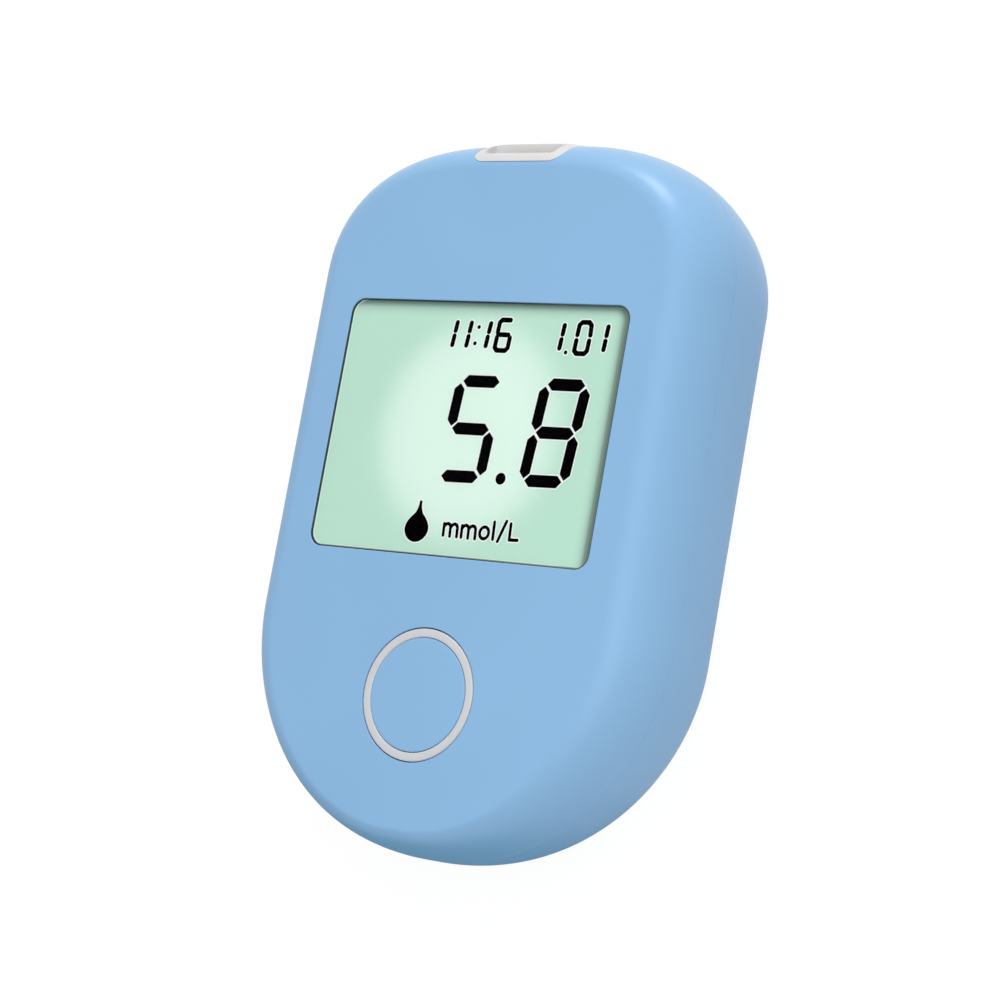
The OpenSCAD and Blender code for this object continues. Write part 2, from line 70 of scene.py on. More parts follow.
MM = 0.001
CORNER_STEPS = 48
EDGE_STEPS = 28
TURN_STEPS = 128
SMOOTH_ANGLE = math.radians(32)
PAST = 1.0  # how far a cutter reaches past a surface
FAR = 60.0  # a place past either end of the case
# how far a point seems to shift along x and y for each millimetre that it lies deeper
SIGHT_SLOPE = (0.72, -0.168)


def node_box(node):
    """Lowest and highest corner of a CAD node in millimetres."""
    return [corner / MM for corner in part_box(node)]


CAD_LOW, CAD_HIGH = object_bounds()
LENS_LOW, LENS_HIGH = node_box("window_lens")
RING_LOW, RING_HIGH = node_box("button_ring")
LABEL_LOW, LABEL_HIGH = node_box("rear_label")
LABEL_MIDDLE = (LABEL_LOW + LABEL_HIGH) / 2
LABEL_HALF = (LABEL_HIGH - LABEL_LOW) / 2


# ---- Sizes and colours ----


def linear(red, green, blue):
    """Scene colour of a display colour whose channels run from 0 to 255."""
    channels = [c / 255 for c in (red, green, blue)]
    return tuple(c / 12.92 if c <= 0.04045 else ((c + 0.055) / 1.055) ** 2.4 for c in channels) + (1.0,)


def length(name, description, millimetres):
    """Length property with its default in millimetres."""
    return bpy.props.FloatProperty(
        name=name, description=description, default=millimetres * MM, unit="LENGTH", precision=5
    )


def share(name, description, default):
    """Plain number property that can't fall below 0."""
    return bpy.props.FloatProperty(name=name, description=description, default=default, min=0.0)


def colour(name, description, red, green, blue):
    """Colour property whose default has channels from 0 to 255."""
    return bpy.props.FloatVectorProperty(
        name=name,
        description=description,
        default=linear(red, green, blue),
        size=4,
        subtype="COLOR",
        min=0.0,
        max=1.0,
    )


def measures(group):
    """The values of a property group as plain numbers, with lengths in millimetres."""
    values = {}
    for prop in group.bl_rna.properties:
        if prop.identifier in ("rna_type", "name"):
            continue
        value = getattr(group, prop.identifier)
        if prop.type == "FLOAT" and prop.unit == "LENGTH":
            value /= MM
        elif prop.type == "FLOAT" and prop.array_length:
            value = tuple(value)
        values[prop.identifier] = value
    return SimpleNamespace(**values)


class MeterCase(bpy.types.PropertyGroup):
    """Form of the two covers"""

    width: length("Width", "Width across the case", (CAD_HIGH.x - CAD_LOW.x) / MM)
    length: length("Length", "Length from the round end to the port end", (CAD_HIGH.y - CAD_LOW.y) / MM)
    thickness: length("Thickness", "Thickness from the back to the face", CAD_HIGH.z / MM)
    widest_height: length("Widest height", "Height of the widest section above the back", 10.85)
    seam_height: length("Seam height", "Height of the seam between the covers", 12.3)
    seam_round: length("Seam rounding", "Rounding of each cover's edge at the seam", 0.1)
    wall: length("Wall", "Thickness of the side walls", 2.0)
    skin: length("Skin", "Thickness of the face and the back", 1.8)
    front_side: length("Front inset, sides", "How far the face is set in at the sides", 5.7)
    front_top: length("Front inset, port end", "How far the face is set in at the port end", 5.0)
    front_bottom: length("Front inset, round end", "How far the face is set in at the round end", 3.1)
    back_side: length("Back inset, sides", "How far the back is set in at the sides", 2.9)
    back_top: length("Back inset, port end", "How far the back is set in at the port end", 7.1)
    back_bottom: length("Back inset, round end", "How far the back is set in at the round end", 3.7)
    top_width: length("Port-end corner width", "Width of each corner at the port end", 25.5)
    top_length: length("Port-end corner length", "Length of each corner at the port end", 19.6)
    top_power: share("Port-end fullness", "Fullness of the corners at the port end", 2.3)
    bottom_width: length("Round-end corner width", "Width of each corner at the round end", 30.0)
    bottom_length: length("Round-end corner length", "Length of each corner at the round end", 30.0)
    bottom_power: share("Round-end fullness", "Fullness of the corners at the round end", 1.95)
    plastic: colour("Plastic", "Colour of the case", 137, 181, 220)


class MeterWindow(bpy.types.PropertyGroup):
    """Window, lens and display"""

    width: length("Width", "Width of the window", 44.2)
    height: length("Height", "Height of the window", 33.65)
    middle: length("Middle", "Place of the window's middle along the case", 7.375)
    corner: length("Corner", "Radius of the window's corners", 2.0)
    edge_round: length("Edge rounding", "Rounding of the window's edge", 0.12)
    lens_gap: length("Lens gap", "Gap between the lens and the window", 0.15)
    image_depth: length("Image depth", "Depth of the displayed image below the face", 0.38)
    ink_step: length("Ink step", "Height of the characters above the field", 0.02)
    field: colour("Field", "Colour of the display away from its lamps", 184, 221, 203)
    glow: colour("Glow", "Colour of the display over its lamps", 216, 239, 227)
    halo: colour("Halo", "Colour of the light edge round the characters", 246, 254, 250)
    ink: colour("Ink", "Colour of the characters", 2, 2, 3)
    # painted shade: the dark line round the display stands for the shaded gap by the lens
    outline: colour("Outline", "Colour of the dark line round the display", 52, 62, 66)


class MeterButton(bpy.types.PropertyGroup):
    """Press button and its ring"""

    middle: length("Middle", "Place of the button's middle along the case", (RING_LOW.y + RING_HIGH.y) / 2)
    ring_radius: length("Ring radius", "Outer radius of the ring", RING_HIGH.x)
    ring_width: length("Ring width", "Width of the ring", 1.15)
    bore_gap: length("Bore gap", "Gap between the ring and the case", 0.12)
    edge_round: length("Edge rounding", "Rounding of the visible edges", 0.12)
    ring: colour("Ring", "Colour of the ring", 202, 204, 208)


class MeterPort(bpy.types.PropertyGroup):
    """Strip port frame"""

    width: length("Width", "Width of the frame", 14.2)
    front: length("Front", "Place of the frame's front edge along the case", 43.1)
    rim: length("Rim", "Thickness of the rim in front of the recess", 1.25)
    arm: length("Arm", "Thickness of the arms beside the recess", 1.5)
    shelf_depth: length("Shelf depth", "Depth of the strip shelf below the face", 3.4)
    proud: length("Proud", "How far the middle of the frame stands out of the case's end", 0.4)
    gap: length("Gap", "Gap between the frame and the case", 0.03)
    edge_round: length("Edge rounding", "Rounding of the rim's edges", 0.34)
    plastic: colour("Plastic", "Colour of the frame", 212, 211, 212)


class MeterBack(bpy.types.PropertyGroup):
    """Battery door, label and screws in the back"""

    door_width: length("Door width", "Width of the battery door", 24.8)
    door_top: length("Door top", "Place of the door's straight end along the case", 13.0)
    door_thickness: length("Door thickness", "Thickness of the door", 1.6)
    door_lip: length("Door lip", "Height of the door's end above the back", 7.4)
    door_corner: length("Door corner", "Radius of the door's corners", 1.2)
    door_gap: length("Door gap", "Gap round the door", 0.2)
    label_corner: length("Label corner", "Radius of the label's corners", 2.0)
    label_recess: length("Label recess", "Depth of the label's recess", 0.15)
    label: colour("Label", "Colour of the bare label", 232, 233, 232)
    label_line: colour("Label line", "Colour of the printed line on the label", 150, 160, 168)


class MeterInside(bpy.types.PropertyGroup):
    """Finishes of the pieces inside"""

    mask: colour("Solder mask", "Colour of the board's coating", 24, 92, 62)
    track: colour("Tracks", "Colour of the tracks under the coating", 44, 128, 84)
    laminate: colour("Laminate", "Colour of the board's cut edges", 190, 180, 128)
    moulding: colour("Chip moulding", "Colour of the chips", 34, 34, 36)
    rubber: colour("Rubber", "Colour of the contact strip's rubber", 214, 150, 160)
    jacket: colour("Cell jacket", "Colour of the cells' jackets", 46, 92, 150)
    band: colour("Cell band", "Colour of the band at the cells' raised ends", 205, 208, 212)


class MeterStage(bpy.types.PropertyGroup):
    """Camera, floor and lamps"""

    lens: bpy.props.FloatProperty(name="Lens", description="Focal length in millimetres", default=97.585)
    floor: colour("Floor", "Colour of the floor", 205, 205, 205)
    floor_light: share("Floor light", "Share of plain white in what is seen of the floor", 0.84)
    sky: share("Sky", "Strength of the light from all round", 0.61)
    end: share("End lamp", "Power of the low lamp past the port end, in watts", 2.05)
    side: share("Side lamp", "Power of the near lamp over the right side, in watts", 0.47)


# ---- Rings of points, in millimetres ----


def rounded_rect(half_width, half_length, radius, centre, height, steps=10):
    """Ring round a rectangle with round corners, level, from its right side."""
    points = []
    for quarter, (side, end) in enumerate(((1, 1), (-1, 1), (-1, -1), (1, -1))):
        middle_x = centre[0] + side * (half_width - radius)
        middle_y = centre[1] + end * (half_length - radius)
        for k in range(steps + 1):
            angle = math.pi / 2 * (quarter + k / steps)
            points.append(
                (middle_x + radius * math.cos(angle), middle_y + radius * math.sin(angle), height)
            )
    return points


def circle(radius, height, centre=(0, 0), steps=TURN_STEPS):
    """Level ring round a centre."""
    turns = [2 * math.pi * k / steps for k in range(steps)]
    return [(centre[0] + radius * math.cos(t), centre[1] + radius * math.sin(t), height) for t in turns]


def quarter_round(radius, steps=6, until=90):
    """Pairs of inset and rise along a quarter round, from a wall up to a level top."""
    angles = [math.radians(until * k / steps) for k in range(steps + 1)]
    return [(radius * (1 - math.cos(a)), radius * math.sin(a)) for a in angles]


def corner_points(width, long, power):
    """Quarter of a rounded outline, from its side to its end. Power 2 gives an ellipse."""
    points = []
    for k in range(CORNER_STEPS + 1):
        angle = math.pi / 2 * k / CORNER_STEPS
        across = width * max(math.cos(angle), 0) ** (2 / power)
        points.append((across, long * math.sin(angle) ** (2 / power)))
    return points


class CaseForm:
    """Rings of the case's rounded outline."""

    def __init__(self, case):
        self.case = case

    def ring(self, side, top, bottom, height):
        """Outline at a height, set in from the widest section at its sides and ends."""
        case = self.case
        half = case.width / 2 - side
        high = case.length / 2 - top
        low = case.length / 2 - bottom
        top_width, top_length = case.top_width - side, case.top_length - top
        bottom_width, bottom_length = case.bottom_width - side, case.bottom_length - bottom
        upper = [
            (half - top_width + x, high - top_length + y)
            for x, y in corner_points(top_width, top_length, case.top_power)
        ]
        lower = [
            (half - bottom_width + x, low - bottom_length + y)
            for x, y in corner_points(bottom_width, bottom_length, case.bottom_power)
        ]
        outline = (
            upper
            + [(-x, y) for x, y in reversed(upper)]
            + [(-x, -y) for x, y in lower]
            + [(x, -y) for x, y in reversed(lower)]
        )
        return [(x, y, height) for x, y in outline]

    def even_ring(self, inset, height):
        """Outline at a height, set in by the same everywhere."""
        return self.ring(inset, inset, inset, height)

    def front_ring(self, angle, wall=0.0, skin=0.0, inset=0.0):
        """Ring of the rounded front, from angle 0 at the widest section to 90 at the face."""
        case = self.case
        lean = 1 - math.cos(math.radians(angle))
        rise = (case.thickness - skin - case.widest_height) * math.sin(math.radians(angle))
        full_insets = (case.front_side, case.front_top, case.front_bottom)
        insets = [wall + lean * (full - wall) + inset for full in full_insets]
        return self.ring(*insets, case.widest_height + rise)

    def back_ring(self, angle, wall=0.0, skin=0.0):
        """Ring of the rounded back, from angle 0 at the widest section to 90 at the flat back."""
        case = self.case
        lean = 1 - math.cos(math.radians(angle))
        drop = (case.widest_height - skin) * math.sin(math.radians(angle))
        full_insets = (case.back_side, case.back_top, case.back_bottom)
        insets = [wall + lean * (full - wall) for full in full_insets]
        return self.ring(*insets, case.widest_height - drop)

    def front_angle(self, height, skin=0.0):
        """Angle at which the rounded front reaches a height."""
        case = self.case
        share_up = (height - case.widest_height) / (case.thickness - skin - case.widest_height)
        return math.degrees(math.asin(share_up))

    def front_rings(self, from_height, wall=0.0, skin=0.0):
        """Rings up the rounded front, from a height to the face."""
        start = self.front_angle(from_height, skin)
        angles = [start + (90 - start) * k / EDGE_STEPS for k in range(EDGE_STEPS + 1)]
        return [self.front_ring(angle, wall, skin) for angle in angles]

    def face_ring(self, inset):
        """Ring on the flat face, just inside its rounding."""
        return self.front_ring(90, inset=inset)

    def back_rings(self, wall=0.0, skin=0.0):
        """Rings up the rounded back, from the flat back to just below the widest section."""
        return [self.back_ring(90 * k / EDGE_STEPS, wall, skin) for k in range(EDGE_STEPS, 0, -1)]

    def flat_back_ring(self, inset):
        """Ring on the flat back, just inside its rounding."""
        case = self.case
        return self.ring(case.back_side + inset, case.back_top + inset, case.back_bottom + inset, 0.0)

    def whole(self):
        """The case's outer form as one solid."""
        return loft(
            [self.flat_back_ring(0.5)]
            + self.back_rings()
            + self.front_rings(self.case.widest_height)
            + [self.face_ring(0.5)]
        )


# ---- Solids, as meshes in millimetres ----


def mesh_of(points, faces):
    """New mesh from points and faces."""
    mesh = bpy.data.meshes.new("shape")
    mesh.from_pydata(points, [], faces)
    mesh.update()
    return mesh


def loft(rings, closed=False):
    """Solid through rings with equal numbers of points, each higher or further in than the last."""
    count = len(rings[0])
    points = [point for ring in rings for point in ring]
    pairs = [(k, k + 1) for k in range(len(rings) - 1)]
    if closed:
        pairs.append((len(rings) - 1, 0))
    faces = []
    for a, b in pairs:
        for k in range(count):
            j = (k + 1) % count
            faces.append((a * count + k, a * count + j, b * count + j, b * count + k))
    if not closed:
        last = (len(rings) - 1) * count
        faces.append(tuple(reversed(range(count))))
        faces.append(tuple(range(last, last + count)))
    return mesh_of(points, faces)


def lathe(profile, centre=(0, 0), closed=False, steps=TURN_STEPS):
    """Solid turned round an upright axis. The profile runs as (radius, height) from low to high."""
    return loft([circle(radius, height, centre, steps) for radius, height in profile], closed)


def block(low, high):
    """Box between two corners."""
    outline = ((low[0], low[1]), (high[0], low[1]), (high[0], high[1]), (low[0], high[1]))
    return prism(outline, low[2], high[2])


def disc(radius, low, high, centre=(0, 0), steps=64):
    """Upright round solid between two heights."""
    return loft([circle(radius, z, centre, steps) for z in (low, high)])


def rounded_plate(half_width, half_length, radius, centre, low, high):
    """Plate with round corners between two heights."""
    return loft([rounded_rect(half_width, half_length, radius, centre, z) for z in (low, high)])


def prism(outline, low, high):
    """Solid under a level outline of (x, y) points, anticlockwise."""
    return loft([[(x, y, z) for x, y in outline] for z in (low, high)])


def mouth(ring_at, low, face, radius):
    """Cutter for an opening whose edge at the face is rounded. ring_at gives its ring for a growth
    and a height."""
    until = 78
    steps = quarter_round(radius, 6, until)
    rings = [ring_at(0.0, low)]
    rings += [ring_at(grow, face - radius + rise) for grow, rise in steps]
    # on along the last slope, past the face
    grow, rise = steps[-1]
    grow += radius * math.sin(math.radians(until))
    rise += radius * math.cos(math.radians(until))
    rings.append(ring_at(grow, face - radius + rise))
    rings.append(ring_at(grow, face + PAST))
    return loft(rings)


def together(*meshes):
    """One mesh of several that don't touch each other."""
    shape = bmesh.new()
    for mesh in meshes:
        shape.from_mesh(mesh)
        bpy.data.meshes.remove(mesh)
    joined = bpy.data.meshes.new("shape")
    shape.to_mesh(joined)
    shape.free()
    return joined


def turned(mesh, matrix):
    """The mesh after a turn, a shift or a mirroring, with its faces still looking out."""
    mesh.transform(matrix)
    if matrix.determinant() < 0:
        mesh.flip_normals()
    return mesh


def combine(operation, base, *tools, tangled=False):
    """Mesh of base after solids are taken away (DIFFERENCE), added (UNION) or met (INTERSECT)."""
    for tool in tools:
        pair = [bpy.data.objects.new("shape", mesh) for mesh in (base, tool)]
        for item in pair:
            bpy.context.scene.collection.objects.link(item)
        step = pair[0].modifiers.new("step", "BOOLEAN")
        step.object = pair[1]
        step.operation = operation
        step.solver = "EXACT"
        step.use_self = tangled
        graph = bpy.context.evaluated_depsgraph_get()
        made = bpy.data.meshes.new_from_object(pair[0].evaluated_get(graph))
        for item, mesh in zip(pair, (base, tool)):
            bpy.data.objects.remove(item)
            bpy.data.meshes.remove(mesh)
        if not made.polygons:
            raise RuntimeError("a solid came out empty")
        base = made
    return base


def without(base, *tools):
    """What is left of the base outside the tools."""
    return combine("DIFFERENCE", base, *tools)


def with_added(base, *tools):
    """The base and the tools as one solid."""
    return combine("UNION", base, *tools)


def common(base, *tools):
    """What lies in the base and in every tool."""
    return combine("INTERSECT", base, *tools)


def piece(name, mesh, body, material, nodes=(), smooth=True):
    """Visible object from a mesh in millimetres, riding on a body in place of CAD nodes."""
    mesh.name = name
    mesh.transform(Matrix.Scale(MM, 4))
    mesh.materials.clear()
    mesh.materials.append(material)
    if smooth:
        mesh.shade_smooth()
        mesh.set_sharp_from_angle(angle=SMOOTH_ANGLE)
    made = bpy.data.objects.new(name, mesh)
    bpy.context.scene.collection.objects.link(made)
    if smooth:
        made.modifiers.new("even_normals", "WEIGHTED_NORMAL").keep_sharp = True
    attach(made, body)
    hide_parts(*nodes)
    return made


# ---- Shader maths ----


class Value:
    """An output socket. Arithmetic on it adds Math nodes to its finish."""

    def __init__(self, recipe, socket):
        self.recipe = recipe
        self.socket = socket

    def maths(self, operation, *terms):
        return self.recipe.node("ShaderNodeMath", {"operation": operation}, dict(enumerate(terms)))

    def __add__(self, other):
        return self.maths("ADD", self, other)

    __radd__ = __add__

    def __sub__(self, other):
        return self.maths("SUBTRACT", self, other)

    def __rsub__(self, other):
        return self.maths("SUBTRACT", other, self)

    def __mul__(self, other):
        return self.maths("MULTIPLY", self, other)

    __rmul__ = __mul__

    def __truediv__(self, other):
        return self.maths("DIVIDE", self, other)

    def __rtruediv__(self, other):
        return self.maths("DIVIDE", other, self)

    def __pow__(self, other):
        return self.maths("POWER", self, other)

    def __rpow__(self, other):
        return self.maths("POWER", other, self)

    def __neg__(self):
        return self.maths("MULTIPLY", self, -1.0)

    def __abs__(self):
        return self.maths("ABSOLUTE", self)

    def at_least(self, other):
        return self.maths("MAXIMUM", self, other)

    def at_most(self, other):
        return self.maths("MINIMUM", self, other)

    def root(self):
        return self.maths("SQRT", self)

    def from_middle(self, period):
        """Distance from the middle of the period that it lies in."""
        return abs(self.maths("FLOORED_MODULO", self, period) - period / 2)

    def rise(self, start, end):
        """0 up to start and 1 from end, smooth between them."""
        return self.recipe.node(
            "ShaderNodeMapRange",
            {"interpolation_type": "SMOOTHSTEP"},
            {"Value": self, "From Min": start, "From Max": end, "To Min": 0.0, "To Max": 1.0},
        )

    def fall(self, start, end):
        """1 up to start and 0 from end, smooth between them."""
        return 1 - self.rise(start, end)

    def other(self, name):
        """Another output of the same node."""
        return Value(self.recipe, self.socket.node.outputs[name])


class Recipe:
    """Node tree of one finish, or of the light all round."""

    def __init__(self, name, kind="materials"):
        self.owner = getattr(bpy.data, kind).new(name)
        self.owner.use_nodes = True
        self.tree = self.owner.node_tree
        self.tree.nodes.clear()

    def node(self, kind, settings=None, sockets=None, output=0):
        """Adds a node of a kind: its settings first, then values or links of its sockets."""
        made = self.tree.nodes.new(kind)
        for name, value in (settings or {}).items():
            if name == "stops":
                self.set_stops(made.color_ramp, value)
            else:
                setattr(made, name, value)
        for key, value in (sockets or {}).items():
            if isinstance(value, Value):
                self.tree.links.new(value.socket, made.inputs[key])
            else:
                made.inputs[key].default_value = value
        return Value(self, made.outputs[output]) if made.outputs else made

    def set_stops(self, ramp, stops):
        while len(ramp.elements) < len(stops):
            ramp.elements.new(1.0)
        for element, (position, tint) in zip(ramp.elements, stops):
            element.position = position
            element.color = tint

    def place(self):
        """Position on the piece in millimetres, as a vector."""
        spot = self.node("ShaderNodeTexCoord", output="Object")
        return self.node("ShaderNodeVectorMath", {"operation": "SCALE"}, {0: spot, "Scale": 1 / MM})

    def axes(self, place):
        """The three parts of a vector."""
        x = self.node("ShaderNodeSeparateXYZ", sockets={0: place}, output="X")
        return x, x.other("Y"), x.other("Z")

    def normal(self):
        """Way that the surface faces."""
        return self.node("ShaderNodeNewGeometry", output="Normal")

    def stretched(self, place, factors):
        return self.node("ShaderNodeVectorMath", {"operation": "MULTIPLY"}, {0: place, 1: factors})

    def noise(self, place, scale, detail=2.0, roughness=0.5):
        """Soft noise round 0, whose scale is in features per millimetre."""
        made = self.node(
            "ShaderNodeTexNoise",
            {"noise_dimensions": "3D"},
            {"Vector": place, "Scale": scale, "Detail": detail, "Roughness": roughness},
        )
        return made - 0.5

    def cells(self, place, scale, output="Distance"):
        return self.node("ShaderNodeTexVoronoi", {}, {"Vector": place, "Scale": scale}, output)

    def mix(self, factor, first, second):
        """Colour between two, by a factor from 0 to 1."""
        sockets = {0: factor, 6: first, 7: second}
        return self.node("ShaderNodeMix", {"data_type": "RGBA"}, sockets, 2)

    def ramp(self, factor, stops):
        return self.node("ShaderNodeValToRGB", {"stops": stops}, {"Fac": factor})

    def bump(self, height, relief):
        """Normal from a height that runs over about 1, for a relief in millimetres."""
        return self.node("ShaderNodeBump", {}, {"Height": height, "Distance": relief * MM, "Strength": 1.0})

    def principled(self, **sockets):
        """Principled shader whose sockets are named in lower case with underscores."""
        titles = {key: key.replace("_", " ").title().replace("Ior", "IOR") for key in sockets}
        named = {titles[key]: value for key, value in sockets.items()}
        return self.node("ShaderNodeBsdfPrincipled", {}, named)

    def finish(self, shader, output="ShaderNodeOutputMaterial"):
        self.node(output, {}, {"Surface": shader})
        return self.owner


def tinted(tint, factor):
    """A colour with its channels scaled."""
    return tuple(min(c * factor, 1.0) for c in tint[:3]) + (1.0,)


def distance_in(x, y, low, high, radius):
    """Distance in from the outline of a rectangle with round corners."""
    across = abs(x - (high[0] + low[0]) / 2) - ((high[0] - low[0]) / 2 - radius)
    along = abs(y - (high[1] + low[1]) / 2) - ((high[1] - low[1]) / 2 - radius)
    outer = (across.at_least(0.0) ** 2 + along.at_least(0.0) ** 2).root()
    return radius - outer - across.at_least(along).at_most(0.0)


# ---- Finishes ----


def plastic_tone(recipe, place, tint, fine):
    """Colour of moulded plastic, with a slow change of tone and a fine grain."""
    slow = recipe.noise(place, 0.05, 1.0)
    return recipe.mix(0.5 + 1.2 * slow + 0.25 * fine, tinted(tint, 0.972), tinted(tint, 1.028))


def moulded_plastic(name, tint, roughness=0.46, grain=0.3, relief=0.0012, gloss=0.28):
    """Fine-grained moulded plastic."""
    recipe = Recipe(name)
    place = recipe.place()
    fine = recipe.noise(place, 1 / grain, 3.0, 0.6)
    flow = recipe.noise(place, 0.4, 2.0)
    shader = recipe.principled(
        base_color=plastic_tone(recipe, place, tint, fine),
        roughness=roughness + 0.06 * flow + 0.08 * fine,
        specular_ior_level=gloss,
        normal=recipe.bump(fine, relief),
    )
    return recipe.finish(shader)


def case_plastic(case):
    """Fine-grained plastic of the covers, polished by the hand near the port end, matt at the round end
    and deeper in tone where it faces away from the port, which is painted shade."""
    recipe = Recipe("case_plastic")
    place = recipe.place()
    _, y, _ = recipe.axes(place)
    fine = recipe.noise(place, 3.3, 3.0, 0.6)
    flow = recipe.noise(place, 0.4, 2.0)
    end = -case.length / 2
    matt = y.fall(end + 2.0, end + 16.0)
    polished = y.rise(22.0, 38.0)
    _, facing_port, _ = recipe.axes(recipe.normal())
    red, green, blue, _ = case.plastic
    # painted shade: a deeper tone where the surface faces away from the port
    painted_shade_tone = (0.67 * red, 0.84 * green, 0.86 * blue, 1.0)
    tone = plastic_tone(recipe, place, case.plastic, fine)
    tone = recipe.mix(facing_port.fall(-1.0, -0.7), tone, painted_shade_tone)
    shader = recipe.principled(
        base_color=tone,
        roughness=0.46 + 0.5 * matt - 0.15 * polished + 0.06 * flow + 0.08 * fine,
        specular_ior_level=0.28,
        normal=recipe.bump(fine, 0.0012),
    )
    return recipe.finish(shader)


def case_material(case):
    """Finish that the covers, the door and the button cap share."""
    return bpy.data.materials.get("case_plastic") or case_plastic(case)


def port_plastic(port):
    """Warm white moulded plastic, with painted shade that makes the recess yellower and darker near its
    front.
    """
    recipe = Recipe("white_plastic")
    place = recipe.place()
    x, y, _ = recipe.axes(place)
    fine = recipe.noise(place, 4.0, 3.0, 0.6)
    slow = recipe.noise(place, 0.35, 2.0)
    half = port.width / 2 - port.arm
    front = port.front + port.rim
    recess = abs(x).fall(half - 0.15, half + 0.1) * y.rise(front - 0.1, front + 0.15)
    # painted shade: the recess darkens and warms towards its front and its right half
    shaded = recess * x.rise(-5.5, -1.0) * y.fall(front + 0.3, front + 2.4)
    fresh = recipe.mix(0.5 + slow + 0.3 * fine, tinted(port.plastic, 0.98), tinted(port.plastic, 1.02))
    painted_recess_shade = recipe.mix(0.5 + slow, linear(198, 194, 186), linear(204, 200, 193))
    tone = recipe.mix(shaded, fresh, painted_recess_shade)
    shader = recipe.principled(
        base_color=tone,
        roughness=0.45 + 0.08 * fine - 0.08 * recess,
        specular_ior_level=0.3,
        normal=recipe.bump(fine, 0.001),
    )
    return recipe.finish(shader)


def clear_lens():
    """Coated clear plastic that lets the display show."""
    recipe = Recipe("clear_lens")
    place = recipe.place()
    clear = recipe.node("ShaderNodeBsdfTransparent", {}, {"Color": (1, 1, 1, 1)})
    shine = recipe.node("ShaderNodeBsdfGlossy", {}, {"Color": (1, 1, 1, 1), "Roughness": 0.12})
    facing = recipe.node("ShaderNodeFresnel", {}, {"IOR": 1.08})
    smear = 1 + 0.5 * recipe.noise(place, 0.15, 2.0)
    shader = recipe.node("ShaderNodeMixShader", {}, {0: facing * smear, 1: clear, 2: shine})
    return recipe.finish(shader)


def dark_seal():
    """Dark bead, with painted light that makes it paler towards its right side."""
    recipe = Recipe("dark_seal")
    place = recipe.place()
    pores = recipe.noise(place, 5.0, 3.0)
    x, _, _ = recipe.axes(place)
    tone = recipe.mix(0.5 + pores, linear(40, 48, 52), linear(58, 68, 72))
    # painted light: the bead is paler towards its right side
    tone = recipe.mix(0.6 * x.rise(0.0, 16.0), tone, linear(100, 116, 116))
    shader = recipe.principled(
        base_color=tone, roughness=0.8, specular_ior_level=0.2, normal=recipe.bump(pores, 0.02)
    )
    return recipe.finish(shader)


def display_field(window):
    """Pale green backlit field with a glow, shaded along the window's port end and right side."""
    recipe = Recipe("display_field")
    place = recipe.place()
    x, y, _ = recipe.axes(place)
    # the window's right edge hides what lies further right than this
    right = window.width / 2 - SIGHT_SLOPE[0] * window.image_depth
    left = -window.width / 2 + window.lens_gap
    high = window.middle + window.height / 2
    low = window.middle - window.height / 2 + window.lens_gap

    # glow over the lamps, with a level middle and a soft edge
    glow_x, glow_y = 0.2, window.middle - 0.08
    spread = ((x - glow_x) / 14.06) ** 2 + ((y - glow_y) / 14.32) ** 2
    glow = math.e ** -(spread**4.17)
    grain = recipe.noise(place, 6.0, 2.0)
    base = recipe.mix(glow + 0.05 * grain, window.field, window.glow)

    # shade along the port end and the right side, round the corner between them
    past_right = (x - (right - 2.3)).at_least(0.0)
    past_high = (y - (high - 2.2)).at_least(0.0)
    edge = (2.0 - (past_right**2 + past_high**2).root()) / 3.0
    shade = recipe.ramp(
        edge,
        [
            (0.02, (0.27, 0.28, 0.29, 1)),
            (0.10, (0.38, 0.40, 0.41, 1)),
            (0.18, (0.56, 0.57, 0.59, 1)),
            (0.28, (0.78, 0.78, 0.80, 1)),
            (0.42, (0.92, 0.91, 0.92, 1)),
            (0.66, (1, 1, 1, 1)),
        ],
    )
    settings = {"data_type": "RGBA", "blend_type": "MULTIPLY"}
    shaded = recipe.node("ShaderNodeMix", settings, {0: 1.0, 6: base, 7: shade}, 2)

    # painted reflection of the lens's edge: a lighter strip beside the right edge
    from_right = right - x
    strip = from_right.rise(0.32, 0.40) * from_right.fall(0.66, 0.78) * y.fall(high - 2.5, high - 1.0)
    shaded = recipe.mix(strip * 0.75, shaded, linear(124, 142, 132))

    # painted highlight of the lens's edge: a light line near the left and lower edges;
    # and the dark outline, painted shade of the gap round the lens
    inside = distance_in(x, y, (left, low), (right, high), window.corner)
    near_left_low = 1 - (x - left).rise(1.0, 2.5) * (y - low).rise(1.0, 2.5)
    light = inside.rise(0.03, 0.06) * inside.fall(0.20, 0.30) * near_left_low
    light = light * x.fall(right - 5.0, right - 3.0)
    lit = recipe.mix(light * 0.7, shaded, linear(226, 242, 230))
    # more painted shade along the lower edge
    painted_shade_low_edge = (y - low).fall(0.10, 0.20) * 0.65
    outlined = recipe.mix(inside.fall(0.0, 0.03).at_least(painted_shade_low_edge), lit, window.outline)
    shader = recipe.principled(
        base_color=outlined,
        roughness=0.6,
        specular_ior_level=0.0,
        emission_color=outlined,
        emission_strength=0.12,
    )
    return recipe.finish(shader)


def printed(name, tint):
    """Matt print with a slightly uneven film."""
    recipe = Recipe(name)
    film = recipe.noise(recipe.place(), 3.0, 2.0)
    tone = recipe.mix(0.5 + film, tinted(tint, 0.97), tinted(tint, 1.03))
    shader = recipe.principled(base_color=tone, roughness=0.9 + 0.1 * film, specular_ior_level=0.0)
    return recipe.finish(shader)


def bright_metal(name, tint, roughness=0.28, stretch=(1, 1, 1)):
    """Metal with fine drawn marks along one way."""
    recipe = Recipe(name)
    drawn = recipe.stretched(recipe.place(), stretch)
    marks = recipe.noise(drawn, 2.0, 4.0, 0.6)
    tone = recipe.mix(0.5 + marks, tinted(tint, 0.88), tinted(tint, 1.05))
    shader = recipe.principled(
        base_color=tone,
        metallic=1.0,
        roughness=roughness + 0.2 * marks,
        normal=recipe.bump(marks, 0.004),
    )
    return recipe.finish(shader)


